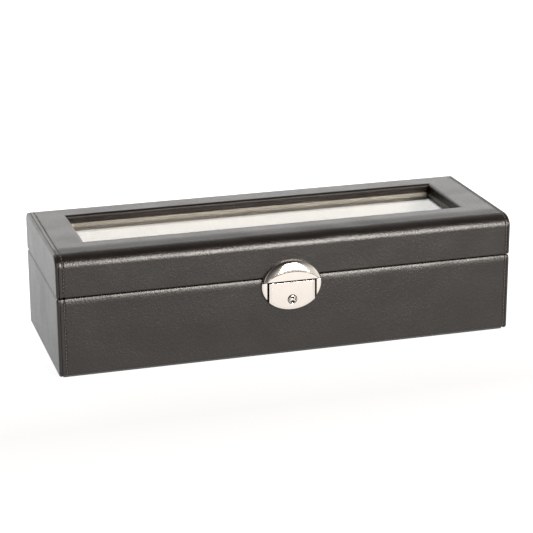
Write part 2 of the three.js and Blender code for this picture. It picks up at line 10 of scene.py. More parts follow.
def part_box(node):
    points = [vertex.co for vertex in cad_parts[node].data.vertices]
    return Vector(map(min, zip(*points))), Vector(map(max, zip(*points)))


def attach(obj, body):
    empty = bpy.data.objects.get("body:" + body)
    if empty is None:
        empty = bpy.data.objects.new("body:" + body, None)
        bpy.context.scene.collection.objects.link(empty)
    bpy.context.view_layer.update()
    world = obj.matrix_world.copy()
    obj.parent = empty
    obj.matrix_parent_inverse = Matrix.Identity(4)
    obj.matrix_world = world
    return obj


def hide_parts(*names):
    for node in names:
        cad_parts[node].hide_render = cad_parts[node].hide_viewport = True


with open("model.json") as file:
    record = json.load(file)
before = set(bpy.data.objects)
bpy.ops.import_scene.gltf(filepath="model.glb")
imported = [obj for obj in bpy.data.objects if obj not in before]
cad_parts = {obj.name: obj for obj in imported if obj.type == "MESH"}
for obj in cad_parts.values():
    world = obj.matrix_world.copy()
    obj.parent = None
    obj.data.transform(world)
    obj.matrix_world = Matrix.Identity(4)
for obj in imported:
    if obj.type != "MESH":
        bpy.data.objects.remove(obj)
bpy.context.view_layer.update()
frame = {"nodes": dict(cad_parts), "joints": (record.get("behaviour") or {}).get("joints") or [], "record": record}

bl_info = {
    "name": "Watch Box",
    "version": (1, 0, 0),
    "blender": (4, 5, 0),
    "location": "View3D > Sidebar > Watch Box",
    "description": "Builds the looks of a leather watch box around its CAD frame",
    "category": "Object",
}

MM = 0.001
COMPARTMENTS = 6
WELD = 1e-7  # points nearer than this are one point
NEAR = 1e-6  # places nearer than this are level
PLATE_SEAT = 0.1 * MM  # height of the lock's plates over the leather
CUT_EDGE = 0.42 * MM  # rounding of the leather's cut edges

# Places read from the frame
LID_LOW, LID_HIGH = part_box("lid_wrap_leather")
BASE_LOW, BASE_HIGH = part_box("base_front_leather")
LENGTH = LID_HIGH.x - LID_LOW.x
FRONT, BACK = LID_LOW.y, LID_HIGH.y
TOP = LID_HIGH.z
LID_FOOT = LID_LOW.z
BASE_TOP = BASE_HIGH.z
BASE_FOOT = BASE_LOW.z
SPLIT = (LID_FOOT + BASE_TOP) / 2
RIM_INNER_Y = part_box("base_back_board")[0].y
RIM_INNER_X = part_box("base_right_board")[0].x
PANE_LOW, PANE_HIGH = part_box("glass_pane")
BUTTON_LOW, BUTTON_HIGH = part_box("push_button")
PLATE_LOW, PLATE_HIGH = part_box("lock_lid_plate")
OVAL_Z = (PLATE_HIGH.z + BUTTON_LOW.z) / 2
OVAL_HALF_HEIGHT = (PLATE_HIGH.z - BUTTON_LOW.z) / 2
OVAL_HALF_WIDTH = PLATE_HIGH.x
JOINTS = {joint["name"]: joint for joint in frame["joints"]}


def number(name, description, default, **kind):
    return bpy.props.FloatProperty(name=name, description=description, default=default, **kind)


def size(name, description, default):
    """A length property whose default is given in millimetres."""
    return number(name, description, default * MM, subtype="DISTANCE", unit="LENGTH", precision=5)


def angle(name, description, default):
    """An angle property whose default is given in degrees."""
    return number(name, description, math.radians(default), subtype="ANGLE", unit="ROTATION")


def colour(name, description, default):
    return bpy.props.FloatVectorProperty(
        name=name, description=description, default=default, subtype="COLOR", size=3, min=0, max=1)


class LeatherSettings(bpy.types.PropertyGroup):
    """Sizes and finish of the leather cover."""
    thickness: size("Thickness", "Thickness of the leather", 1.15)
    rim_radius: size("Rim radius", "Rounding where the leather turns over a rim", 1.3)
    rim_drop: size("Rim drop", "Height over which the base's leather swells below its rim", 5.0)
    foot_radius: size("Foot radius", "Rounding of the long bottom edges", 2.5)
    shoulder_depth: size("Shoulder depth", "Reach of the lid's front shoulder along the depth", 10.2)
    shoulder_drop: size("Shoulder drop", "Height of the lid's front shoulder", 7.8)
    back_radius: size("Back radius", "Rounding of the lid's back edge", 7.0)
    window_radius: size("Window radius", "Rounding of the leather at the window's edge", 2.2)
    cap_depth: size("Cap depth", "How far each end panel wraps onto the long sides", 2.0)
    cap_radius: size("Cap radius", "Rounding of the end panels' edges", 1.5)
    left_seam: size("Left seam", "Distance of the stitched seam from the left end", 5.0)
    right_seam: size("Right seam", "Distance of the stitched seam from the right end", 3.1)
    seam_width: size("Seam width", "Width of the groove that the stitches lie in", 1.0)
    seam_depth: size("Seam depth", "Depth of the groove that the stitches lie in", 0.5)
    stitch_pitch: size("Stitch pitch", "Distance from one stitch to the next", 2.4)
    stitch_length: size("Stitch length", "Length of one stitch", 1.75)
    stitch_radius: size("Thread radius", "Radius of the thread", 0.3)
    tone: colour("Tone", "Colour of the leather", (0.0048, 0.0026, 0.0016))
    thread_tone: colour("Thread", "Colour of the thread", (0.062, 0.052, 0.044))
    roughness: number("Roughness", "Roughness of the leather", 0.32, min=0, max=1)


class LiningSettings(bpy.types.PropertyGroup):
    """Sizes and colour of the suede lining and cushions."""
    tone: colour("Suede", "Colour of the suede", (0.195, 0.178, 0.152))
    edge_radius: size("Edge radius", "Rounding of covered edges", 1.1)
    swell: size("Swell", "Largest distance a cushion's skin may swell", 5.0)
    voxel: size("Voxel", "Mesh size of the cushions before they swell", 2.2)


class MetalSettings(bpy.types.PropertyGroup):
    """Finish of the lock and the hinges."""
    nickel: colour("Nickel", "Colour of the polished plate", (0.82, 0.76, 0.70))
    steel: colour("Steel", "Colour of the hinges", (0.55, 0.53, 0.50))
    bevel: size("Bevel", "Width of the shallow bevel round the button", 1.7)
    bevel_drop: size("Bevel drop", "Depth of the shallow bevel round the button", 0.5)


class StageSettings(bpy.types.PropertyGroup):
    """Camera and studio light."""
    azimuth: angle("Azimuth", "How far the camera stands to the left of the front", 16.613)
    elevation: angle("Elevation", "How far the camera looks down", 18.489)
    roll: angle("Roll", "Tilt of the camera about its own axis", -0.233)
    distance: size("Distance", "Distance from the camera to the point it aims at", 1293.0)
    lens: number("Lens", "Focal length in millimetres", 122.47)
    aim: bpy.props.FloatVectorProperty(
        name="Aim", description="Point that the camera looks at",
        default=(0.0036, 0.0129, 0.0401), subtype="XYZ", unit="LENGTH", precision=5)
    wall_light: number("Wall light", "Brightness of the pale walls", 2.1)
    ceiling_light: number("Ceiling", "Brightness of the ceiling", 0.02)
    floor_glow: number("Floor glow", "Light that the lit table gives", 1.35)
    key_power: number("Key light", "Power of the softbox", 42.0)


SETTINGS = {
    "watch_box_leather": LeatherSettings,
    "watch_box_lining": LiningSettings,
    "watch_box_metal": MetalSettings,
    "watch_box_stage": StageSettings,
}


# Shader building

class Signal:
    """A shader value that takes part in arithmetic."""

    def __init__(self, recipe, socket):
        self.recipe = recipe
        self.socket = socket

    def combine(self, operation, *values):
        return self.recipe.node("ShaderNodeMath", {"operation": operation}, dict(enumerate(values)))

    def __add__(self, other):
        return self.combine("ADD", self, other)

    def __sub__(self, other):
        return self.combine("SUBTRACT", self, other)

    def __rsub__(self, other):
        return self.combine("SUBTRACT", other, self)

    def __mul__(self, other):
        return self.combine("MULTIPLY", self, other)

    def clamped(self, low, high):
        return self.combine("MINIMUM", self.combine("MAXIMUM", self, low), high)

    __radd__ = __add__
    __rmul__ = __mul__


class Recipe:
    """Builds one material's node tree."""

    def __init__(self, name, tree=None):
        if tree is None:
            self.material = bpy.data.materials.new(name)
            self.material.use_nodes = True
            tree = self.material.node_tree
        self.tree = tree
        self.tree.nodes.clear()

    def node(self, kind, settings=None, inputs=None, output=0):
        """Adds a node, sets it, then fills or links its sockets, and gives one of its outputs."""
        made = self.tree.nodes.new(kind)
        for key, value in (settings or {}).items():
            if key == "stops":
                self.set_stops(made.color_ramp, value)
            else:
                setattr(made, key, value)
        for key, value in (inputs or {}).items():
            if isinstance(value, Signal):
                self.tree.links.new(value.socket, made.inputs[key])
            else:
                made.inputs[key].default_value = value
        return Signal(self, made.outputs[output]) if made.outputs else None

    def set_stops(self, ramp, stops):
        while len(ramp.elements) < len(stops):
            ramp.elements.new(0.5)
        for element, (position, grey) in zip(ramp.elements, stops):
            element.position = position
            element.color = (grey, grey, grey, 1)

    def ramp(self, factor, *stops):
        """Greys that follow a factor; a stop is (position, grey)."""
        return self.node("ShaderNodeValToRGB", {"stops": stops}, {"Fac": factor})

    def part(self, vector, axis):
        """The part of a vector along one axis."""
        return self.node("ShaderNodeSeparateXYZ", {}, {0: vector}, axis)

    def place(self, scale=(1, 1, 1)):
        """Object coordinates, stretched by scale."""
        here = self.node("ShaderNodeTexCoord", output=3)
        return self.node("ShaderNodeMapping", {}, {"Vector": here, "Scale": scale})

    def noise(self, place, scale, detail=3, roughness=0.55):
        return self.node("ShaderNodeTexNoise", {}, {
            "Vector": place, "Scale": scale, "Detail": detail, "Roughness": roughness})

    def cells(self, place, scale, feature):
        return self.node("ShaderNodeTexVoronoi", {"feature": feature}, {"Vector": place, "Scale": scale})

    def blend(self, factor, first, second):
        return self.node("ShaderNodeMix", {"data_type": "RGBA"}, {0: factor, 6: first, 7: second}, 2)

    def bump(self, height, distance, strength=1.0, normal=None):
        inputs = {"Height": height, "Distance": distance, "Strength": strength}
        if normal is not None:
            inputs["Normal"] = normal
        return self.node("ShaderNodeBump", {}, inputs)

    def finish(self, **values):
        names = {"color": "Base Color", "sheen": "Sheen Weight", "sheen_roughness": "Sheen Roughness",
                 "ior": "IOR", "transmission": "Transmission Weight", "glow_color": "Emission Color",
                 "glow": "Emission Strength"}
        inputs = {names.get(key, key.capitalize()): value for key, value in values.items()}
        shader = self.node("ShaderNodeBsdfPrincipled", {}, inputs)
        self.node("ShaderNodeOutputMaterial", {}, {"Surface": shader})
        return self.material


def rgba(tone, factor=1.0):
    return (*[min(1.0, channel * factor) for channel in tone], 1.0)


def leather_recipe(name, crowned=False, ior=1.52):
    """Fine calf grain: small uneven pebbles, mottled patches and a satin dressing."""
    look = bpy.context.scene.watch_box_leather
    recipe = Recipe(name)
    here = recipe.place()
    pebbles = recipe.cells(here, 1250, "SMOOTH_F1")
    creases = recipe.cells(here, 620, "DISTANCE_TO_EDGE")
    fine = recipe.noise(here, 2600, 3)
    clouds = recipe.noise(here, 34, 4)
    patches = recipe.noise(here, 620, 3, 0.7)
    tone = recipe.blend(clouds.clamped(0.3, 0.7), rgba(look.tone, 0.82), rgba(look.tone, 1.25))
    tone = recipe.blend(pebbles.clamped(0, 0.9) * 0.5, tone, rgba(look.tone, 0.6))
    rough = clouds * 0.1 + patches * 0.22 + fine * 0.06 + (look.roughness - 0.17)
    grain = pebbles * -0.4 + fine * 0.3 + creases.clamped(0, 0.12) * 1.5
    normal = recipe.bump(grain, 0.00007, 0.8)
    normal = recipe.bump(patches, 0.00021, 1.0, normal)
    normal = recipe.bump(recipe.noise(here, 26, 1), 0.0014, 1.0, normal)
    if crowned:
        crown = recipe.node("ShaderNodeMapRange", {"interpolation_type": "SMOOTHSTEP"}, {
            "Value": recipe.part(here, 1), "From Min": FRONT + 3 * MM, "From Max": PANE_LOW.y - 2.5 * MM,
            "To Min": 0, "To Max": 1.7 * MM})
        normal = recipe.bump(crown, 1.0, 1.0, normal)
    return recipe.finish(color=tone, roughness=rough, normal=normal, ior=ior)


def leather_finish():
    return leather_recipe("black_calf_leather")


def crowned_leather_finish():
    """The same leather, swelling softly towards the front of the lid."""
    return leather_recipe("black_calf_leather_padded", True)


def turned_leather_finish():
    """The same leather where it is folded down round the glass, undressed and so duller."""
    return leather_recipe("black_calf_leather_turned", ior=1.24)


def thread_finish():
    """Waxed thread: twisted strands."""
    look = bpy.context.scene.watch_box_leather
    recipe = Recipe("waxed_thread")
    here = recipe.place()
    twist = recipe.node("ShaderNodeTexWave", {"bands_direction": "DIAGONAL"}, {
        "Vector": here, "Scale": 900.0, "Distortion": 0.6})
    fluff = recipe.noise(here, 3000, 2)
    tone = recipe.blend(fluff, rgba(look.thread_tone, 0.8), rgba(look.thread_tone, 1.5))
    return recipe.finish(color=tone, roughness=fluff * 0.2 + 0.3, normal=recipe.bump(twist, 0.00008))


def suede_finish():
    """Brushed suede cloth: short nap with lighter and darker strokes."""
    look = bpy.context.scene.watch_box_lining
    recipe = Recipe("cream_suede")
    here = recipe.place()
    nap = recipe.noise(here, 3200, 3, 0.7)
    strokes = recipe.noise(recipe.place((1, 0.6, 1)), 60, 3)
    fibre = recipe.noise(recipe.place((1, 0.2, 1)), 1500, 2)
    shade = strokes.clamped(0.35, 0.65)
    tone = recipe.blend(shade, rgba(look.tone, 0.95), rgba(look.tone, 1.03))
    tone = recipe.blend(nap * 0.35, tone, rgba(look.tone, 0.80))
    normal = recipe.bump(nap * 0.7 + fibre * 0.5, 0.00022, 0.8)
    return recipe.finish(color=tone, roughness=strokes * 0.08 + 0.86, normal=normal,
                         sheen=0.35, sheen_roughness=0.5)


def felt_finish():
    """Black felt of the underside: matted short fibres."""
    recipe = Recipe("black_felt")
    here = recipe.place()
    fibre = recipe.noise(recipe.place((1, 0.4, 1)), 1400, 5, 0.7)
    mat = recipe.noise(here, 260, 4)
    tone = recipe.blend(fibre, (0.008, 0.008, 0.008, 1), (0.03, 0.029, 0.028, 1))
    return recipe.finish(color=tone, roughness=mat * 0.1 + 0.88,
                         normal=recipe.bump(fibre + mat, 0.0003), sheen=0.2)


def board_finish():
    """Fibreboard: matted wood fibres, with darker layers here and there."""
    recipe = Recipe("fibreboard")
    here = recipe.place()
    fibre = recipe.noise(here, 1300, 5, 0.65)
    sheet = recipe.noise(recipe.place((0.2, 0.2, 3)), 300, 3)
    tone = recipe.blend(fibre, (0.25, 0.155, 0.085, 1), (0.47, 0.32, 0.19, 1))
    tone = recipe.blend(sheet.clamped(0.4, 0.7) * 0.5, tone, (0.34, 0.22, 0.125, 1))
    return recipe.finish(color=tone, roughness=fibre * 0.15 + 0.72, normal=recipe.bump(fibre, 0.0002))


def nickel_finish():
    """Polished nickel plate: nearly a mirror, with faint polishing lines."""
    look = bpy.context.scene.watch_box_metal
    recipe = Recipe("polished_nickel")
    lines = recipe.noise(recipe.place((1, 1, 14)), 420, 3)
    haze = recipe.noise(recipe.place(), 130, 3)
    tone = recipe.blend(haze, rgba(look.nickel, 0.96), rgba(look.nickel, 1.04))
    return recipe.finish(color=tone, metallic=1.0, roughness=haze * 0.05 + lines * 0.03 + 0.05,
                         normal=recipe.bump(lines, 0.00001, 0.3))


def steel_finish():
    """Plated steel of the hinges and the latch: brushed, slightly uneven."""
    look = bpy.context.scene.watch_box_metal
    recipe = Recipe("plated_steel")
    brushed = recipe.noise(recipe.place((0.06, 1, 1)), 2400, 3)
    haze = recipe.noise(recipe.place(), 160, 4)
    tone = recipe.blend(haze, rgba(look.steel, 0.85), rgba(look.steel, 1.1))
    return recipe.finish(color=tone, metallic=1.0, roughness=haze * 0.16 + brushed * 0.1 + 0.16,
                         normal=recipe.bump(brushed, 0.00003, 0.5))


def painted_shade_finish():
    """Near-black steel for the lock's faces that look into gaps and wells: painted shade."""
    recipe = Recipe("blackened_steel")
    haze = recipe.noise(recipe.place(), 240, 4)
    tone = recipe.blend(haze, (0.006, 0.006, 0.006, 1), (0.02, 0.019, 0.018, 1))
    return recipe.finish(color=tone, metallic=0.6, roughness=haze * 0.2 + 0.42,
                         normal=recipe.bump(haze, 0.00005))


def glass_finish():
    """Clear float glass with the faintest film on it."""
    recipe = Recipe("clear_glass")
    film = recipe.noise(recipe.place(), 30, 4)
    return recipe.finish(color=(0.97, 0.985, 0.975, 1), roughness=film.clamped(0.5, 1) * 0.02,
                         ior=1.36, transmission=1.0)


FINISHES = {}


def finish_of(maker):
    if maker not in FINISHES:
        FINISHES[maker] = maker()
    return FINISHES[maker]


# Mesh helpers

def parts_of(kind, parts):
    return [part for part in parts if isinstance(part, kind)]


def each_once(parts):
    """The parts without repeats, always in the same order."""
    return list(dict.fromkeys(parts))


def round_off(bm, parts, reach, segments, affect="EDGES"):
    """Rounds edges, or the corners of a wire, from reach before them to reach past them."""
    bmesh.ops.bevel(bm, geom=parts, offset=reach, offset_type="OFFSET", segments=segments, profile=0.5,
                    affect=affect, material=-1)


def draw_out(bm, edges, move):
    """Draws edges out into faces and gives back what was added."""
    drawn = bmesh.ops.extrude_edge_only(bm, edges=edges)["geom"]
    bmesh.ops.translate(bm, verts=parts_of(bmesh.types.BMVert, drawn), vec=move)
    return drawn


def outline(points, radii, closed=False):
    """A wire in the Y-Z plane through points, with each listed corner rounded.

    radii maps a corner's number to one radius, or to (depth, drop) for an oval corner.
    """
    bm = bmesh.new()
    corners = [bm.verts.new((0, y, z)) for y, z in points]
    pairs = list(zip(corners, corners[1:]))
    if closed:
        pairs.append((corners[-1], corners[0]))
    for pair in pairs:
        bm.edges.new(pair)
    for number, radius in radii.items():
        depth, drop = radius if isinstance(radius, tuple) else (radius, radius)
        stretch = depth / drop
        bmesh.ops.scale(bm, vec=(1, 1, stretch), verts=bm.verts)
        steps_per_mm, fewest = 1.6, 4
        steps = max(fewest, round(depth / MM * steps_per_mm) + 3)
        round_off(bm, [corners[number]], depth, steps, "VERTICES")
        bmesh.ops.scale(bm, vec=(1, 1, 1 / stretch), verts=bm.verts)
    return bm


def sweep(bm, half):
    """Draws the wire out along X into a sheet, from -half to half."""
    bmesh.ops.translate(bm, verts=bm.verts, vec=(-half, 0, 0))
    draw_out(bm, bm.edges[:], (2 * half, 0, 0))
    return bm


def cut_opening(bm, planes):
    """Removes what lies inside every plane, given as (point, outward direction)."""
    inside = bm.faces[:]
    for point, outward in planes:
        point, outward = Vector(point), Vector(outward)
        parts = each_once(part for face in inside for part in (face, *face.edges, *face.verts))
        result = bmesh.ops.bisect_plane(bm, geom=parts, plane_co=point, plane_no=outward, dist=WELD)
        inside = [face for face in parts_of(bmesh.types.BMFace, result["geom"])
                  if (face.calc_center_median() - point).dot(outward) < 0]
    if not inside:
        raise RuntimeError("an opening missed its sheet")
    bmesh.ops.delete(bm, geom=inside, context="FACES")


def axis_plane(axis, place, sign=1):
    """A plane across an axis, as (point, direction)."""
    point, direction = Vector(), Vector()
    point[axis] = place
    direction[axis] = sign
    return point, direction


def box_planes(low, high):
    """The planes of a box, which stays open on a side given as None."""
    return [axis_plane(axis, corner[axis], sign) for axis in range(3)
            for corner, sign in ((low, -1), (high, 1)) if corner[axis] is not None]


def slice_at(bm, axis, places):
    """Adds a loop across the mesh at each place along an axis."""
    for place in places:
        point, direction = axis_plane(axis, place)
        bmesh.ops.bisect_plane(bm, geom=bm.verts[:] + bm.edges[:] + bm.faces[:], plane_co=point,
                               plane_no=direction, dist=WELD)


def face_outwards(bm, centre):
    """Turns an open sheet's faces away from a point."""
    bmesh.ops.recalc_face_normals(bm, faces=bm.faces)
    centre = Vector(centre)
    total = sum((face.calc_center_median() - centre).dot(face.normal) * face.calc_area()
                for face in bm.faces)
    if total < 0:
        bmesh.ops.reverse_faces(bm, faces=bm.faces)


def press_seams(bm, look):
    """Presses rounded grooves into a sheet that runs along X, and turns its two ends in."""
    width, depth = look.seam_width, look.seam_depth
    places = seam_places(look)
    end = max(vert.co.x for vert in bm.verts)
    turn = 0.9 * depth
    for place in places:
        slice_at(bm, 0, [place + width * share for share in (-1, -0.5, 0, 0.5, 1)])
    slice_at(bm, 0, [side * (end - reach) for side in (-1, 1) for reach in (0.4 * depth, turn)])
    bm.normal_update()
    for vert in bm.verts:
        turned = 1 - (end - abs(vert.co.x)) / turn
        if turned > 0:
            vert.co -= vert.normal * 1.5 * depth * turned ** 2
        for place in places:
            away = abs(vert.co.x - place) / width
            if away < 0.75:
                share = 1.0 if away < 0.25 else 0.55
                vert.co -= vert.normal * depth * share


def make_object(bm, name, *finishes):
    """Makes the object of a mesh, shaded smooth; its faces' material numbers pick among the finishes."""
    mesh = bpy.data.meshes.new(name)
    for face in bm.faces:
        face.smooth = True
    bm.to_mesh(mesh)
    bm.free()
    piece = bpy.data.objects.new(name, mesh)
    bpy.context.scene.collection.objects.link(piece)
    for finish in finishes:
        mesh.materials.append(finish_of(finish))
    return piece


def thicken(piece, thickness, bevel):
    """Gives a sheet its thickness inwards and softens its cut edges."""
    solid = piece.modifiers.new("Thickness", "SOLIDIFY")
    solid.thickness = thickness
    solid.offset = -1
    solid.use_even_offset = True
    return soften(piece, bevel)


def soften(piece, width, segments=3, angle=50):
    """Rounds the edges that are sharper than angle, in degrees."""
    edge = piece.modifiers.new("Soft edges", "BEVEL")
    edge.width = width
    edge.segments = segments
    edge.limit_method = "ANGLE"
    edge.angle_limit = math.radians(angle)
    edge.use_clamp_overlap = True
    shading = piece.modifiers.new("Even shading", "WEIGHTED_NORMAL")
    shading.keep_sharp = True
    return piece


def add_box(bm, low, high):
    made = bmesh.ops.create_cube(bm, size=1)
    low, high = Vector(low), Vector(high)
    place = Matrix.Translation((low + high) / 2) @ Matrix.Diagonal((*(high - low), 1))
    bmesh.ops.transform(bm, matrix=place, verts=made["verts"])


def add_box_pair(bm, near, far, low, high):
    """Two boxes on either side of the middle, from near to far; low and high are (y, z)."""
    for side in (-1, 1):
        xs = sorted((side * near, side * far))
        add_box(bm, (xs[0], *low), (xs[1], *high))


def add_rod(bm, start, end, radius, segments=32):
    """A closed round rod from start to end."""
    start, end = Vector(start), Vector(end)
    along = end - start
    made = bmesh.ops.create_cone(bm, cap_ends=True, segments=segments, radius1=radius, radius2=radius,
                                 depth=along.length)
    turn = along.to_track_quat("Z", "Y").to_matrix().to_4x4()
    bmesh.ops.transform(bm, matrix=Matrix.Translation((start + end) / 2) @ turn, verts=made["verts"])


def box_piece(name, node, finish, radius, segments=3):
    """A box with softened edges that stands for a flat CAD node."""
    bm = bmesh.new()
    add_box(bm, *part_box(node))
    return soften(make_object(bm, name, finish), radius, segments)


def settle(piece, body, node):
    """Lets a piece ride a body in place of a CAD node, which it hides."""
    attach(piece, body)
    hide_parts(node)


def centre_and_half(node):
    low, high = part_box(node)
    return (low + high) / 2, (high - low) / 2


# Outlines of the two shells

def lid_points(rims=True):
    """Corners of the lid's outline from the front rim over the top to the back rim."""
    points = [(FRONT, LID_FOOT), (FRONT, TOP), (BACK, TOP), (BACK, LID_FOOT)]
    if rims:
        points = [(-RIM_INNER_Y, LID_FOOT)] + points + [(RIM_INNER_Y, LID_FOOT)]
    return points


def seam_places(look):
    """Where the two stitched seams lie along X."""
    return [look.left_seam - LENGTH / 2, LENGTH / 2 - look.right_seam]


def hinge_cut_planes():
    """Planes of the room that the leather leaves for the knuckles of each hinge."""
    cuts = []
    gap, knuckle = 0.35 * MM, 1.9 * MM
    for number in (1, 2):
        low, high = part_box(f"hinge_{number}_pin")
        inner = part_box(f"hinge_{number}_base_leaf")[0].y - gap
        reach = knuckle + gap
        cuts.append(box_planes((low.x - gap, inner, SPLIT - reach), (high.x + gap, None, SPLIT + reach)))
    return cuts


class WATCHBOX_OT_lid_leather(bpy.types.Operator):
    """Leather over the front, top and back of the lid, with the window cut into it"""
    bl_idname = "watchbox.lid_leather"
    bl_label = "Lid leather"

    def execute(self, context):
        look = context.scene.watch_box_leather
        radii = {1: look.rim_radius, 2: (look.shoulder_depth, look.shoulder_drop),
                 3: look.back_radius, 4: look.rim_radius}
        bm = sweep(outline(lid_points(), radii), LENGTH / 2 - look.cap_depth)
        face_outwards(bm, (0, 0, (LID_FOOT + TOP) / 2))
        lap_end, lap_front, lap_back = 6 * MM, 6.5 * MM, 6.7 * MM
        low = (PANE_LOW.x + lap_end, PANE_LOW.y + lap_front, TOP - MM)
        high = (PANE_HIGH.x - lap_end, PANE_HIGH.y - lap_back, None)
        cut_opening(bm, box_planes(low, high))
        self.turn_down(bm, low, high, PANE_HIGH.z + 0.1 * MM, look.window_radius)
        press_seams(bm, look)
        for planes in hinge_cut_planes():
            cut_opening(bm, planes)
        hook_low, hook_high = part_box("lock_hook")
        room, hook_plate = 0.3 * MM, 1.4 * MM
        slot_low = (hook_low.x - room, hook_high.y - hook_plate, None)
        slot_high = (hook_high.x + room, hook_high.y + 0.4 * MM, LID_FOOT + 2 * MM)
        cut_opening(bm, box_planes(slot_low, slot_high))
        piece = make_object(bm, "lid_leather_wrap", crowned_leather_finish, turned_leather_finish)
        thicken(piece, look.thickness, CUT_EDGE)
        settle(piece, "lid", "lid_wrap_leather")
        return {"FINISHED"}

    def turn_down(self, bm, low, high, foot, radius):
        """Folds the leather down into the window and rounds the fold."""
        inside = 1e-5
        rim = [edge for edge in bm.edges if edge.is_boundary and all(
            abs(vert.co.z - TOP) < inside and low[0] - inside < vert.co.x < high[0] + inside
            and low[1] - inside < vert.co.y < high[1] + inside for vert in edge.verts)]
        drawn = draw_out(bm, rim, (0, 0, foot - TOP))
        for face in parts_of(bmesh.types.BMFace, drawn):
            face.material_index = 1
        bm.normal_update()
        round_off(bm, [edge for edge in rim if edge.is_valid], radius, 6)


class WATCHBOX_OT_base_leather(bpy.types.Operator):
    """Leather over the front and the back of the base, with turned rims"""
    bl_idname = "watchbox.base_leather"
    bl_label = "Base leather"

    def execute(self, context):
        look = context.scene.watch_box_leather
        for side, name, node in ((-1, "base_front_wrap", "base_front_leather"),
                                 (1, "base_back_wrap", "base_back_leather")):
            bm = self.sheet(look, side)
            if side < 0:
                self.open_for_lock(bm)
            else:
                for planes in hinge_cut_planes():
                    cut_opening(bm, planes)
            piece = thicken(make_object(bm, name, leather_finish), look.thickness, CUT_EDGE)
            settle(piece, "base", node)
        return {"FINISHED"}

    def sheet(self, look, side):
        turn = 8 * MM
        points = [(side * RIM_INNER_Y, BASE_TOP), (side * BACK, BASE_TOP), (side * BACK, BASE_FOOT),
                  (side * (BACK - turn), BASE_FOOT)]
        bm = outline(points, {1: (look.rim_radius, look.rim_drop), 2: look.foot_radius})
        sweep(bm, LENGTH / 2 - look.cap_depth)
        face_outwards(bm, (0, side * (BACK - 12 * MM), (BASE_TOP + BASE_FOOT) / 2))
        press_seams(bm, look)
        return bm

    def open_for_lock(self, bm):
        """Cuts the mouth that the lock's case and the button pass through."""
        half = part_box("lock_body")[1].x - 3.4 * MM
        planes = box_planes((-half, None, None), (half, MM - RIM_INNER_Y, None))
        steps = 14
        wide, tall = OVAL_HALF_WIDTH + 0.3 * MM, OVAL_HALF_HEIGHT + 0.3 * MM
        for step in range(steps + 1):
            angle = math.pi + math.pi * step / steps
            across, up = math.cos(angle), math.sin(angle)
            point = (wide * across, 0, OVAL_Z + tall * up)
            planes.append((point, (across / wide, 0, up / tall)))
        cut_opening(bm, planes)


class WATCHBOX_OT_end_leather(bpy.types.Operator):
    """Leather panels on the two ends of the base and of the lid"""
    bl_idname = "watchbox.end_leather"
    bl_label = "End leather"

    def execute(self, context):
        look = context.scene.watch_box_leather
        for side, word in ((-1, "left"), (1, "right")):
            radii = {0: look.rim_radius, 1: (look.shoulder_depth, look.shoulder_drop),
                     2: look.back_radius, 3: look.rim_radius}
            rim = (LID_FOOT, LID_FOOT + look.thickness)
            self.cap("lid", word, lid_points(rims=False), radii, side, rim, look)
            points = [(FRONT, BASE_TOP), (BACK, BASE_TOP), (BACK, BASE_FOOT), (FRONT, BASE_FOOT)]
            rim_oval = (look.rim_radius, look.rim_drop)
            radii = {0: rim_oval, 1: rim_oval, 2: look.foot_radius, 3: look.foot_radius}
            rim = (BASE_TOP - look.thickness, BASE_TOP)
            self.cap("base", word, points, radii, side, rim, look)
        return {"FINISHED"}

    def cap(self, body, word, points, radii, side, rim, look):
        """One end panel: a shallow slab with rounded edges, and a strip over the board's rim."""
        bm = outline(points, radii, closed=True)
        bmesh.ops.translate(bm, verts=bm.verts, vec=(side * LENGTH / 2, 0, 0))
        edge = bm.edges[:]
        bmesh.ops.contextual_create(bm, geom=edge)
        draw_out(bm, edge, (-side * look.cap_depth, 0, 0))
        bmesh.ops.contextual_create(bm, geom=[e for e in bm.edges if e.is_boundary])
        bmesh.ops.recalc_face_normals(bm, faces=bm.faces)
        round_off(bm, [e for e in edge if e.is_valid], look.cap_radius, 5)
        gap = 0.05 * MM
        reach = side * (LENGTH / 2 - look.cap_depth - 0.02 * MM)
        low = (min(reach, side * RIM_INNER_X), -RIM_INNER_Y + gap, rim[0])
        high = (max(reach, side * RIM_INNER_X), RIM_INNER_Y - gap, rim[1])
        add_box(bm, low, high)
        piece = soften(make_object(bm, f"{body}_{word}_end", leather_finish), CUT_EDGE)
        settle(piece, body, f"{body}_{word}_leather")


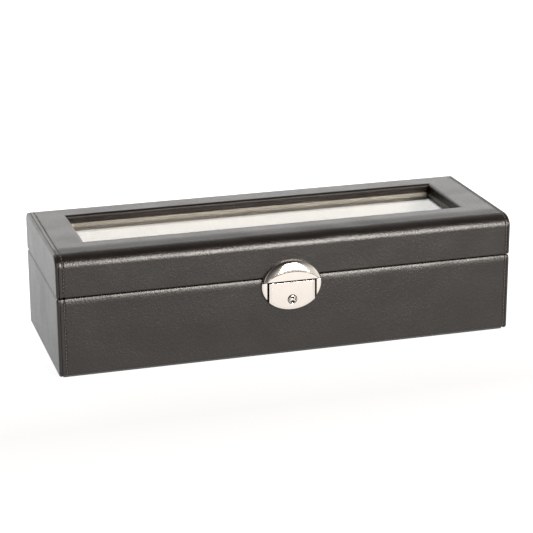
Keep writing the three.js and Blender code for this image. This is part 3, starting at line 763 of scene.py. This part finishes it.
class WATCHBOX_OT_stitches(bpy.types.Operator):
    """Rows of slanted stitches near each end of the lid and of the base"""
    bl_idname = "watchbox.stitches"
    bl_label = "Stitches"

    def execute(self, context):
        look = context.scene.watch_box_leather
        shoulder = (look.shoulder_depth, look.shoulder_drop)
        lid = outline(lid_points(rims=False), {1: shoulder, 2: look.back_radius})
        front = outline([(FRONT, BASE_TOP), (FRONT, BASE_FOOT)], {})
        back = outline([(BACK, BASE_TOP), (BACK, BASE_FOOT)], {})
        for name, body, wires in (("lid_stitches", "lid", [lid]), ("base_stitches", "base", [front, back])):
            bm = bmesh.new()
            for wire in wires:
                for place, direction in self.along(wire, look):
                    for seam in seam_places(look):
                        self.stitch(bm, place, direction, seam, look)
                wire.free()
            piece = make_object(bm, name, thread_finish)
            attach(piece, body)
        return {"FINISHED"}

    def along(self, wire, look):
        """Evenly spaced places on the wire, with the direction of the wire there."""
        ends = [vert for vert in wire.verts if len(vert.link_edges) == 1]
        vert, edge, path = ends[0], None, [ends[0].co.copy()]
        while True:
            onward = [link for link in vert.link_edges if link is not edge]
            if not onward:
                break
            edge = onward[0]
            vert = edge.other_vert(vert)
            path.append(vert.co.copy())
        total = sum((b - a).length for a, b in zip(path, path[1:]))
        margin = 2.2 * MM
        count = round((total - 2 * margin) / look.stitch_pitch)
        places = []
        for number in range(count):
            target = margin + (total - 2 * margin) * (number + 0.5) / count
            for a, b in zip(path, path[1:]):
                length = (b - a).length
                if target <= length:
                    places.append((a.lerp(b, target / length), (b - a).normalized()))
                    break
                target -= length
        return places

    def stitch(self, bm, place, direction, seam, look):
        """One short rounded stitch, slanted across its seam and sunk at both ends."""
        outward = Vector((1, 0, 0)).cross(direction)
        centre = Vector((0, (FRONT + BACK) / 2, (BASE_FOOT + TOP) / 2))
        if outward.dot(place - centre) < 0:
            outward = -outward
        slant = 0.16
        axis = (direction + Vector((1, 0, 0)) * slant).normalized()
        made = bmesh.ops.create_uvsphere(bm, u_segments=8, v_segments=7, radius=1)
        side = axis.cross(outward)
        turn = Matrix((side, outward, axis)).transposed().to_4x4()
        shape = Matrix.Diagonal((look.stitch_radius, look.stitch_radius, look.stitch_length / 2, 1))
        lift = outward * (look.stitch_radius * 0.6 - look.seam_depth * 0.5)
        where = Matrix.Translation(place + Vector((seam, 0, 0)) + lift)
        bmesh.ops.transform(bm, matrix=where @ turn @ shape, verts=made["verts"])


class WATCHBOX_OT_window(bpy.types.Operator):
    """The glass pane and the suede-covered frame that holds it up"""
    bl_idname = "watchbox.window"
    bl_label = "Window"

    def execute(self, context):
        look = context.scene.watch_box_lining
        ground_edge = 0.4 * MM
        pane = box_piece("window_glass", "glass_pane", glass_finish, ground_edge, 2)
        pane.visible_shadow = False
        settle(pane, "lid", "glass_pane")
        bm = bmesh.new()
        add_box(bm, *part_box("glass_frame"))
        lap = 5 * MM
        inner_low = (PANE_LOW.x + lap, PANE_LOW.y + lap)
        inner_high = (PANE_HIGH.x - lap, PANE_HIGH.y - lap)
        for axis in (0, 1):
            slice_at(bm, axis, [inner_low[axis], inner_high[axis]])
        middle = [face for face in bm.faces if abs(face.normal.z) > 0.5 and all(
            inner_low[a] < face.calc_center_median()[a] < inner_high[a] for a in (0, 1))]
        bmesh.ops.bridge_loops(bm, edges=each_once(edge for face in middle for edge in face.edges))
        bmesh.ops.delete(bm, geom=[face for face in middle if face.is_valid], context="FACES_ONLY")
        bmesh.ops.recalc_face_normals(bm, faces=bm.faces)
        held = soften(make_object(bm, "window_frame", suede_finish), look.edge_radius * 0.8, 4)
        settle(held, "lid", "glass_frame")
        return {"FINISHED"}


class WATCHBOX_OT_linings(bpy.types.Operator):
    """Suede on the inner walls and the floor, and the dividers"""
    bl_idname = "watchbox.linings"
    bl_label = "Linings"

    def execute(self, context):
        look = context.scene.watch_box_lining
        cloth, cloth_edge = 1.05 * MM, 0.4 * MM
        for node, body in (("base_lining", "base"), ("lid_lining", "lid")):
            low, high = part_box(node)
            bm = bmesh.new()
            points = [(low.x, low.y), (high.x, low.y), (high.x, high.y), (low.x, high.y)]
            ring = [bm.verts.new((x, y, low.z)) for x, y in points]
            for number, vert in enumerate(ring):
                bm.edges.new((vert, ring[(number + 1) % len(ring)]))
            draw_out(bm, bm.edges[:], (0, 0, high.z - low.z))
            face_outwards(bm, (0, 0, (low.z + high.z) / 2))
            piece = thicken(make_object(bm, f"{node}_suede", suede_finish), cloth, cloth_edge)
            settle(piece, body, node)
        floor = box_piece("floor_suede", "floor_lining", suede_finish, cloth_edge)
        settle(floor, "base", "floor_lining")
        for number in range(1, COMPARTMENTS):
            node = f"divider_{number}"
            piece = box_piece(f"{node}_suede", node, suede_finish, look.edge_radius, 4)
            settle(piece, "base", node)
        return {"FINISHED"}


class WATCHBOX_OT_cushions(bpy.types.Operator):
    """Six padded suede watch cushions, swollen by cloth simulation"""
    bl_idname = "watchbox.cushions"
    bl_label = "Cushions"

    def execute(self, context):
        look = context.scene.watch_box_lining
        master = self.swollen_pad(look)
        for number in range(1, COMPARTMENTS + 1):
            self.place(master, number)
        bpy.data.objects.remove(master)
        return {"FINISHED"}

    def swollen_pad(self, look):
        """One plump pad about the origin: a soft block that swells under pressure."""
        half = centre_and_half("cushion_1")[1]
        inset, fold = Vector((3.2, 3.6, 3.6)) * MM, 11 * MM
        bm = bmesh.new()
        add_box(bm, -(half - inset), half - inset)
        long_edges = [edge for edge in bm.edges if abs(edge.verts[0].co.x - edge.verts[1].co.x) > MM]
        round_off(bm, long_edges, fold, 6)
        pad = make_object(bm, "cushion_master", suede_finish)
        remesh = pad.modifiers.new("Remesh", "REMESH")
        remesh.mode = "VOXEL"
        remesh.voxel_size = look.voxel
        self.apply(pad)
        self.inflate(pad, look.swell)
        smooth = pad.modifiers.new("Smooth", "SUBSURF")
        smooth.levels = smooth.render_levels = 1
        self.apply(pad)
        self.seams(pad)
        return pad

    def apply(self, pad):
        """Makes the result of a mesh's modifiers its own shape."""
        graph = bpy.context.evaluated_depsgraph_get()
        mesh = bpy.data.meshes.new_from_object(pad.evaluated_get(graph))
        pad.modifiers.clear()
        pad.data = mesh

    def inflate(self, pad, limit):
        """Lets air pressure swell the skin, no point farther than limit."""
        rest = [vert.co.copy() for vert in pad.data.vertices]
        cloth = pad.modifiers.new("Cloth", "CLOTH")
        cloth.settings.use_pressure = True
        cloth.settings.uniform_pressure_force = 4
        cloth.settings.quality = 5
        cloth.settings.mass = 0.2
        cloth.settings.tension_stiffness = 12
        cloth.settings.bending_stiffness = 0.6
        cloth.settings.effector_weights.gravity = 0
        frames = 20
        for step in range(frames):
            bpy.context.scene.frame_set(step + 1)
        self.apply(pad)
        bpy.context.scene.frame_set(1)
        for vert, start in zip(pad.data.vertices, rest):
            moved = vert.co - start
            if moved.length > limit:
                vert.co = start + moved.normalized() * limit

    def seams(self, pad):
        """Pulls in the two sewn edges where the side panels meet the band."""
        half = centre_and_half("cushion_1")[1]
        inset, width, depth = 5.5 * MM, 1.1 * MM, 0.7 * MM
        seam = max(abs(vert.co.x) for vert in pad.data.vertices) - inset
        for vert in pad.data.vertices:
            away = abs(abs(vert.co.x) - seam)
            pull = math.exp(-(away / width) ** 2) * depth
            inward = Vector((0, -vert.co.y, -vert.co.z))
            if inward.length > NEAR:
                vert.co += inward.normalized() * pull
            vert.co.z = max(vert.co.z, -half.z)

    def place(self, master, number):
        """Fits a copy of the pad to its compartment, with faint wrinkles of its own."""
        centre, half = centre_and_half(f"cushion_{number}")
        mesh = master.data.copy()
        piece = bpy.data.objects.new(f"cushion_{number}_pad", mesh)
        bpy.context.scene.collection.objects.link(piece)
        reach = [max(abs(vert.co[axis]) for vert in mesh.vertices) for axis in range(3)]
        fit = [min(1.0, half[axis] / reach[axis]) for axis in range(3)]
        ripples, depth = 90, 0.35 * MM
        elsewhere = Vector((number * 7.1, 0, 0))
        for vert in mesh.vertices:
            place = Vector([vert.co[axis] * fit[axis] for axis in range(3)])
            ripple = noise.noise(place * ripples + elsewhere) * depth
            place -= place.normalized() * abs(ripple)
            vert.co = place + centre
        for polygon in mesh.polygons:
            polygon.use_smooth = True
        settle(piece, f"cushion_{number}", f"cushion_{number}")


class WATCHBOX_OT_lock(bpy.types.Operator):
    """Oval lock: the domed lid plate, the wings and case, the push button and the key plug"""
    bl_idname = "watchbox.lock"
    bl_label = "Lock"

    def execute(self, context):
        look = context.scene.watch_box_metal
        self.lid_plate()
        self.body()
        self.button(look)
        self.key_plug()
        self.hook()
        return {"FINISHED"}

    def oval(self, rings, segments=128):
        """A solid oval boss from rings of (half width, half height, rise), the last one capped."""
        bm = bmesh.new()
        wide, tall, rise = rings[0]
        made = bmesh.ops.create_circle(bm, cap_ends=True, segments=segments, radius=1)
        bmesh.ops.rotate(bm, verts=made["verts"], matrix=Matrix.Rotation(math.pi / 2, 3, "X"))
        bmesh.ops.scale(bm, verts=made["verts"], vec=(wide, 1, tall))
        bmesh.ops.translate(bm, verts=made["verts"], vec=(0, FRONT - rise, OVAL_Z))
        edges = bm.edges[:]
        centre = Matrix.Translation((0, 0, -OVAL_Z))
        for new_wide, new_tall, new_rise in rings[1:]:
            drawn = draw_out(bm, edges, (0, rise - new_rise, 0))
            verts = parts_of(bmesh.types.BMVert, drawn)
            edges = [edge for edge in parts_of(bmesh.types.BMEdge, drawn)
                     if all(vert in verts for vert in edge.verts)]
            bmesh.ops.scale(bm, verts=verts, vec=(new_wide / wide, 1, new_tall / tall), space=centre)
            wide, tall, rise = new_wide, new_tall, new_rise
        bmesh.ops.contextual_create(bm, geom=edges)
        bmesh.ops.recalc_face_normals(bm, faces=bm.faces)
        return bm

    def trim(self, bm, point, outward):
        """Cuts away what lies past a plane and closes the cut."""
        parts = bm.verts[:] + bm.edges[:] + bm.faces[:]
        cut = bmesh.ops.bisect_plane(bm, geom=parts, plane_co=point, plane_no=outward, clear_outer=True,
                                     dist=WELD)
        bmesh.ops.holes_fill(bm, edges=parts_of(bmesh.types.BMEdge, cut["geom_cut"]), sides=0)
        bmesh.ops.recalc_face_normals(bm, faces=bm.faces)

    def lid_plate(self):
        """Dome with a broad curved band above a flat face; the band is narrow at the sides."""
        wide, tall = OVAL_HALF_WIDTH, OVAL_HALF_HEIGHT
        side_band, top_band = 1.3 * MM, 6.9 * MM
        flat_wide, flat_tall = wide - side_band, tall - top_band
        base = 0.9 * MM
        full = FRONT - PLATE_LOW.y - base
        last = math.radians(62)
        rings = [(wide, tall, PLATE_SEAT), (wide, tall, base * 0.7)]
        steps = 12
        for step in range(steps + 1):
            angle = last * step / steps
            share = (1 - math.cos(angle)) / (1 - math.cos(last))
            rings.append((wide + (flat_wide - wide) * share, tall + (flat_tall - tall) * share,
                          base + full * math.sin(angle) / math.sin(last)))
        # A fine groove runs round the flat face
        for inset, sink in ((0.05 * MM, 0.25 * MM), (0.3 * MM, 0.25 * MM), (0.35 * MM, 0.05 * MM)):
            rings.append((flat_wide - inset, flat_tall - inset, base + full - sink))
        bm = self.oval(rings)
        gap, groove = 0.15 * MM, 0.1 * MM
        self.trim(bm, (0, 0, PLATE_LOW.z + gap), (0, 0, -1))
        bed = PLATE_LOW.y + groove
        # The underside over the button gap and the groove's bed take the near-black finish: painted shade.
        self.paint_shade(bm, lambda face: face.normal.z < -0.9 or (
            face.calc_center_median().y > bed and self.within(face, flat_wide, flat_tall)))
        piece = soften(make_object(bm, "lock_lid_dome", nickel_finish, painted_shade_finish), 0.1 * MM, 2, 40)
        settle(piece, "lid", "lock_lid_plate")

    def body(self):
        """The two polished wings beside the button and the open case that holds the latch."""
        low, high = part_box("lock_body")
        bm = bmesh.new()
        for side in (-1, 1):
            wing = self.oval(self.wing_rings(FRONT - low.y))
            self.trim(wing, (side * (BUTTON_HIGH.x + 1.4 * MM), 0, 0), (-side, 0, 0))
            self.trim(wing, (0, 0, BUTTON_HIGH.z), (0, 0, 1))
            self.merge(bm, wing)
        polished = set(bm.faces)
        wall = 0.7 * MM
        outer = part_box("latch_pin")[1].x + 0.8 * MM
        inner = outer - wall
        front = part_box("base_front_board")[0].y + 0.1 * MM
        back = high.y - wall
        roof = high.z - wall
        add_box_pair(bm, outer, inner, (front, low.z), (high.y, high.z))
        add_box_pair(bm, outer, inner, (FRONT - MM, OVAL_Z - 6 * MM), (front, BUTTON_HIGH.z))
        add_box(bm, (-inner, back, low.z), (inner, high.y, high.z))
        add_box(bm, (-inner, front, low.z), (inner, back, low.z + wall))
        hook_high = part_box("lock_hook")[1]
        slot_front, slot_back = hook_high.y - 2.2 * MM, hook_high.y + 0.5 * MM
        add_box(bm, (-inner, front, roof), (inner, slot_front, high.z))
        add_box(bm, (-inner, slot_back, roof), (inner, back, high.z))
        add_box_pair(bm, hook_high.x + 0.6 * MM, inner, (slot_front, roof), (slot_back, high.z))
        # The case, seen through the gaps round the button, takes the near-black finish: painted shade.
        for face in bm.faces:
            face.material_index = 0 if face in polished else 1
        piece = make_object(bm, "lock_wings_and_case", nickel_finish, painted_shade_finish)
        soften(piece, 0.15 * MM, 2, 40)
        settle(piece, "base", "lock_body")

    def wing_rings(self, rise):
        """Rings of an oval that goes straight up and then rounds over."""
        wide, tall = OVAL_HALF_WIDTH, OVAL_HALF_HEIGHT
        straight, steps = 0.45, 6
        rings = [(wide, tall, PLATE_SEAT), (wide, tall, rise * straight)]
        for step in range(1, steps + 1):
            angle = math.radians(75) * step / steps
            inset = (1 - math.cos(angle)) * 1.5 * MM
            rings.append((wide - inset, tall - inset, rise * (straight + (1 - straight) * math.sin(angle))))
        return rings

    def within(self, face, wide, tall):
        """Whether a face's middle lies inside an oval about the lock's centre."""
        middle = face.calc_center_median()
        return (middle.x / wide) ** 2 + ((middle.z - OVAL_Z) / tall) ** 2 < 1

    def paint_shade(self, bm, in_shade):
        """Gives the near-black second finish to the faces that look into a gap: painted shade."""
        bm.normal_update()
        for face in bm.faces:
            if in_shade(face):
                face.material_index = 1

    def merge(self, bm, other):
        """Adds one mesh to another and frees it."""
        mesh = bpy.data.meshes.new("part")
        other.to_mesh(mesh)
        other.free()
        bm.from_mesh(mesh)
        bpy.data.meshes.remove(mesh)

    def button(self, look):
        """Flat button with a shallow bevel, cut straight at its sides and its top."""
        rise = FRONT - BUTTON_LOW.y
        gap = 0.45 * MM
        bm = self.oval([(OVAL_HALF_WIDTH, OVAL_HALF_HEIGHT, height) for height in (-0.5 * MM, rise)])
        self.trim(bm, (BUTTON_LOW.x, 0, 0), (-1, 0, 0))
        self.trim(bm, (BUTTON_HIGH.x, 0, 0), (1, 0, 0))
        self.trim(bm, (0, 0, BUTTON_HIGH.z - gap), (0, 0, 1))
        bmesh.ops.remove_doubles(bm, verts=bm.verts, dist=NEAR)
        stretch = look.bevel / look.bevel_drop
        seat = Matrix.Translation((0, -BUTTON_LOW.y, 0))
        bmesh.ops.scale(bm, verts=bm.verts, vec=(1, stretch, 1), space=seat)
        bm.normal_update()
        face = min(bm.faces, key=lambda f: f.calc_center_median().y)
        top = BUTTON_HIGH.z - gap - 0.05 * MM
        border = [edge for edge in face.edges if min(vert.co.z for vert in edge.verts) < top]
        round_off(bm, border, look.bevel, 1)
        bmesh.ops.scale(bm, verts=bm.verts, vec=(1, 1 / stretch, 1), space=seat)
        x, _, z = JOINTS["key_turn"]["pos_m"]
        centre, bore_radius = Vector((x, 0, z)), 3.35 * MM
        self.bore(bm, centre, bore_radius)
        stem_low, stem_high, stem_half = 34.2 * MM, 35.4 * MM, 3.5 * MM
        add_box(bm, (-stem_half, FRONT + 0.4 * MM, stem_low), (stem_half, BUTTON_HIGH.y, stem_high))
        # The top over the gap, the back and the bore walls take the near-black finish: painted shade.
        self.paint_shade(bm, lambda face: face.normal.z > 0.9 or face.calc_center_median().y > FRONT
                     or (centre - face.calc_center_median()).xz.length < bore_radius + 0.01 * MM)
        piece = soften(make_object(bm, "push_button_face", nickel_finish, painted_shade_finish), 0.1 * MM, 2, 8)
        settle(piece, "button", "push_button")

    def bore(self, bm, centre, radius):
        """Opens a round hole through the front and back faces and walls it."""
        rims = []
        for pick in (min, max):
            face = pick(bm.faces, key=lambda f: f.calc_center_median().y)
            border = list(face.edges)
            depth = face.calc_center_median().y
            bmesh.ops.delete(bm, geom=[face], context="FACES_ONLY")
            ring = bmesh.ops.create_circle(bm, cap_ends=False, segments=48, radius=radius)["verts"]
            turn = Matrix.Translation((centre.x, depth, centre.z)) @ Matrix.Rotation(math.pi / 2, 4, "X")
            bmesh.ops.transform(bm, matrix=turn, verts=ring)
            rim = each_once(edge for vert in ring for edge in vert.link_edges)
            bmesh.ops.triangle_fill(bm, edges=border + rim, use_beauty=True)
            rims += rim
        bmesh.ops.bridge_loops(bm, edges=rims)
        bmesh.ops.recalc_face_normals(bm, faces=bm.faces)

    def key_plug(self):
        """Round plug: a raised ring round a well painted near-black as painted shade, with a bar and two cheeks
        standing in it.
        """
        x, _, z = JOINTS["key_turn"]["pos_m"]
        low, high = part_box("key_cylinder")
        outer, inner, deep = 2.85 * MM, 2.3 * MM, 1.7 * MM
        lip, slope = 0.05 * MM, 0.3 * MM
        length = high.y - low.y
        bm = bmesh.new()
        self.spin(bm, [(0, deep), (inner, deep), (inner, slope), (inner + 0.15 * MM, lip),
                       (outer - 0.25 * MM, lip), (outer, slope), (outer, length), (0, length)], x, low.y, z)
        # Faces inside the well take the near-black finish: painted shade.
        for face in bm.faces:
            middle = face.calc_center_median()
            away = math.hypot(middle.x - x, middle.z - z)
            if away < inner + lip and middle.y < low.y + 2 * MM:
                face.material_index = 1
        front, floor = low.y + 0.15 * MM, low.y + deep + 0.1 * MM
        cheek, bar = 1.3 * MM, 0.62 * MM
        add_box(bm, (x - cheek, front, z - bar), (x + cheek, floor, z + bar))
        add_box_pair(bm, 1.0 * MM, 1.8 * MM, (front, z - cheek), (floor, z + cheek))
        add_box(bm, (x, high.y - 0.5 * MM, z - MM), (x + 5 * MM, high.y, z + MM))
        piece = soften(make_object(bm, "key_plug", nickel_finish, painted_shade_finish), 0.08 * MM, 2, 40)
        settle(piece, "key", "key_cylinder")

    def spin(self, bm, wire, x, y, z):
        """Turns a profile of (radius, depth) round an axis along Y into a closed solid."""
        verts = [bm.verts.new((x + radius, y + depth, z)) for radius, depth in wire]
        edges = [bm.edges.new(pair) for pair in zip(verts, verts[1:])]
        bmesh.ops.spin(bm, geom=verts + edges, cent=(x, y, z), axis=(0, 1, 0), angle=2 * math.pi, steps=48,
                       use_merge=True)
        bmesh.ops.remove_doubles(bm, verts=bm.verts, dist=WELD)
        bmesh.ops.recalc_face_normals(bm, faces=bm.faces)

    def hook(self):
        """Steel plate with a window in it that the latch catches, and a foot bent forwards."""
        low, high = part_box("lock_hook")
        bm = bmesh.new()
        plate = high.y - MM
        window = 3 * MM
        add_box_pair(bm, high.x, window, (plate, low.z), (high.y, high.z))
        add_box(bm, (-window, plate, low.z), (window, high.y, low.z + 2 * MM))
        add_box(bm, (-window, plate, low.z + 6 * MM), (window, high.y, high.z))
        add_box(bm, (low.x, low.y, high.z - MM), (high.x, plate, high.z))
        bmesh.ops.remove_doubles(bm, verts=bm.verts, dist=NEAR)
        piece = soften(make_object(bm, "lock_hook_plate", steel_finish), 0.15 * MM, 2)
        settle(piece, "lid", "lock_hook")


class WATCHBOX_OT_hinges(bpy.types.Operator):
    """Two butt hinges with interleaved knuckles, pins and slotted screws"""
    bl_idname = "watchbox.hinges"
    bl_label = "Hinges"

    def execute(self, context):
        for number in (1, 2):
            for body, direction in (("base", -1), ("lid", 1)):
                for screw in (1, 2):
                    self.screw(f"hinge_{number}_{body}_screw_{screw}", body, direction)
                self.leaf(number, body, direction)
            self.pin(number)
        return {"FINISHED"}

    def leaf(self, number, body, direction):
        """A flat leaf with its knuckles: the lid's between the two of the base."""
        node = f"hinge_{number}_{body}_leaf"
        low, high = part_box(node)
        axis = centre_and_half(f"hinge_{number}_pin")[0]
        radius = high.y - axis.y
        edge = axis.y - radius - 0.2 * MM
        near = SPLIT + direction * 0.15 * MM
        bottom, top = sorted((near, near + direction * MM))
        middle, gap = 5.9 * MM, 0.2 * MM
        if direction > 0:
            spans = [(axis.x - middle, axis.x + middle)]
        else:
            spans = [(low.x, axis.x - middle - gap), (axis.x + middle + gap, high.x)]
        bm = bmesh.new()
        add_box(bm, (low.x, low.y, bottom), (high.x, edge, top))
        for start, end in spans:
            add_box(bm, (start, edge, bottom), (end, axis.y - 0.9 * MM, top))
            add_rod(bm, (start, axis.y, axis.z), (end, axis.y, axis.z), radius)
        piece = soften(make_object(bm, f"{node}_plate", steel_finish), 0.2 * MM, 3, 40)
        settle(piece, body, node)

    def screw(self, node, body, direction):
        """A flat round head with a slot across it, and a plain shank."""
        low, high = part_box(node)
        centre, half = (low + high) / 2, (high - low) / 2
        seat, tip = (high.z, low.z) if direction < 0 else (low.z, high.z)
        under_head = (centre.x, centre.y, seat + direction * 0.5 * MM)
        bm = bmesh.new()
        add_rod(bm, (centre.x, centre.y, seat), under_head, half.x)
        self.sink_slot(bm, centre.y, seat, direction)
        add_rod(bm, under_head, (centre.x, centre.y, tip), 0.85 * MM, 16)
        piece = soften(make_object(bm, f"{node}_slotted", steel_finish), 0.1 * MM, 2, 40)
        settle(piece, body, node)

    def sink_slot(self, bm, middle, seat, direction):
        """Sinks a straight slot into a screw's head."""
        half, depth = 0.28 * MM, 0.25 * MM
        slice_at(bm, 1, [middle - half, middle + half])
        strip = [face for face in bm.faces if abs(face.normal.z) > 0.9
                 and abs(face.calc_center_median().z - seat) < NEAR
                 and abs(face.calc_center_median().y - middle) < half]
        drawn = bmesh.ops.extrude_discrete_faces(bm, faces=strip)
        verts = each_once(vert for face in drawn["faces"] for vert in face.verts)
        bmesh.ops.translate(bm, verts=verts, vec=(0, 0, direction * depth))

    def pin(self, number):
        node = f"hinge_{number}_pin"
        centre, half = centre_and_half(node)
        reach = Vector((half.x + 0.3 * MM, 0, 0))
        bm = bmesh.new()
        add_rod(bm, centre - reach, centre + reach, half.y)
        piece = soften(make_object(bm, f"{node}_rod", steel_finish), 0.25 * MM, 3, 40)
        settle(piece, "base", node)


class WATCHBOX_OT_carcass(bpy.types.Operator):
    """Finishes for the boards, the underside and the lock's inner parts, which keep their CAD shape"""
    bl_idname = "watchbox.carcass"
    bl_label = "Carcass"

    def execute(self, context):
        finishes = {"board": board_finish, "bottom_cloth": felt_finish, "steel": steel_finish}
        for part in frame["record"]["subparts"]:
            maker = finishes.get(part["material_slot"])
            if maker is None:
                continue
            mesh = frame["nodes"][part["node"]].data
            mesh.materials.clear()
            mesh.materials.append(finish_of(maker))
        return {"FINISHED"}


class WATCHBOX_OT_stage(bpy.types.Operator):
    """Camera, pale floor, pale walls and the softbox"""
    bl_idname = "watchbox.stage"
    bl_label = "Stage"

    def execute(self, context):
        look = context.scene.watch_box_stage
        context.scene.view_settings.view_transform = "Standard"
        self.camera(context.scene, look)
        self.floor(look)
        self.walls(context.scene, look)
        self.softbox(look)
        return {"FINISHED"}

    def camera(self, scene, look):
        level = math.cos(look.elevation)
        ahead = Vector((math.sin(look.azimuth) * level, math.cos(look.azimuth) * level,
                        -math.sin(look.elevation)))
        camera = bpy.data.objects.new("camera", bpy.data.cameras.new("camera"))
        camera.data.lens = look.lens
        camera.data.sensor_width = 36
        camera.data.clip_end = 50
        turn = ahead.to_track_quat("-Z", "Y").to_matrix().to_4x4()
        roll = Matrix.Rotation(look.roll, 4, "Z")
        camera.matrix_world = Matrix.Translation(Vector(look.aim) - ahead * look.distance) @ turn @ roll
        scene.collection.objects.link(camera)
        scene.camera = camera

    def floor(self, look):
        """A lit table, just under the box's foot."""
        bm = bmesh.new()
        half, drop = 12, 0.2 * MM
        bmesh.ops.create_grid(bm, x_segments=1, y_segments=1, size=half)
        bmesh.ops.translate(bm, verts=bm.verts, vec=(0, 0, -drop))
        mesh = bpy.data.meshes.new("floor")
        bm.to_mesh(mesh)
        bm.free()
        floor = bpy.data.objects.new("floor", mesh)
        bpy.context.scene.collection.objects.link(floor)
        recipe = Recipe("pale_floor")
        depth = recipe.part(recipe.place(), 1)
        shine = recipe.ramp(depth * 0.5 + 0.5, (0.28, 0.72), (0.43, 0.58), (0.62, 1.0))
        mesh.materials.append(recipe.finish(color=(0.12, 0.12, 0.12, 1), roughness=0.9,
                                            glow_color=shine, glow=look.floor_glow))

    def walls(self, scene, look):
        """Pale walls behind the box, darker ones in front of it and a dark ceiling."""
        world = bpy.data.worlds.new("pale_walls")
        world.use_nodes = True
        scene.world = world
        recipe = Recipe("walls", world.node_tree)
        direction = recipe.node("ShaderNodeTexCoord")
        across, depth, height = (recipe.part(direction, axis) for axis in range(3))
        behind = recipe.ramp(depth * 0.5 + 0.5, (0.0, 0.0), (0.42, 0.02), (0.62, 1.0), (1.0, 1.0))
        front = recipe.ramp(across * 0.5 + 0.5, (0.0, 0.03), (0.45, 0.10), (0.8, 0.36), (1.0, 0.5))
        fading = recipe.ramp(height, (0.0, 1.0), (0.36, 1.0), (0.60, 0.42), (0.82, 0.14), (1.0, 0.03))
        level = (front + behind * (1 - front)) * fading
        strength = level * look.wall_light + look.ceiling_light
        sky = recipe.node("ShaderNodeBackground", {}, {"Color": (1.0, 0.99, 0.975, 1), "Strength": strength})
        recipe.node("ShaderNodeOutputWorld", {}, {"Surface": sky})

    def softbox(self, look):
        """One tall softbox in front, above and to the right."""
        data = bpy.data.lights.new("softbox", "AREA")
        data.shape = "RECTANGLE"
        data.size, data.size_y = 0.5, 0.85
        data.energy = look.key_power
        data.color = (1.0, 0.935, 0.87)
        light = bpy.data.objects.new("softbox", data)
        towards, distance = Vector((0.27, -0.86, 0.44)).normalized(), 1.5
        turn = (-towards).to_track_quat("-Z", "Y").to_matrix().to_4x4()
        light.matrix_world = Matrix.Translation(towards * distance) @ turn
        bpy.context.scene.collection.objects.link(light)


OPERATORS = (
    WATCHBOX_OT_stage, WATCHBOX_OT_carcass, WATCHBOX_OT_base_leather, WATCHBOX_OT_lid_leather,
    WATCHBOX_OT_end_leather, WATCHBOX_OT_stitches, WATCHBOX_OT_window, WATCHBOX_OT_linings,
    WATCHBOX_OT_cushions, WATCHBOX_OT_lock, WATCHBOX_OT_hinges,
)


class WATCHBOX_PT_panel(bpy.types.Panel):
    """Lists the watch box's settings and its making steps"""
    bl_idname = "WATCHBOX_PT_panel"
    bl_label = "Watch Box"
    bl_space_type = "VIEW_3D"
    bl_region_type = "UI"
    bl_category = "Watch Box"

    def draw(self, context):
        for name, group in SETTINGS.items():
            column = self.layout.box().column()
            column.label(text=group.__doc__)
            for key in group.__annotations__:
                column.prop(getattr(context.scene, name), key)
        for operator in OPERATORS:
            self.layout.operator(operator.bl_idname)


CLASSES = (*SETTINGS.values(), *OPERATORS, WATCHBOX_PT_panel)


def register():
    for item in CLASSES:
        bpy.utils.register_class(item)
    for name, group in SETTINGS.items():
        setattr(bpy.types.Scene, name, bpy.props.PointerProperty(type=group))


def unregister():
    for name in SETTINGS:
        delattr(bpy.types.Scene, name)
    for item in reversed(CLASSES):
        bpy.utils.unregister_class(item)


def main():
    register()
    for operator in OPERATORS:
        module, name = operator.bl_idname.split(".")
        getattr(getattr(bpy.ops, module), name)()


if __name__ == "__main__":
    main()
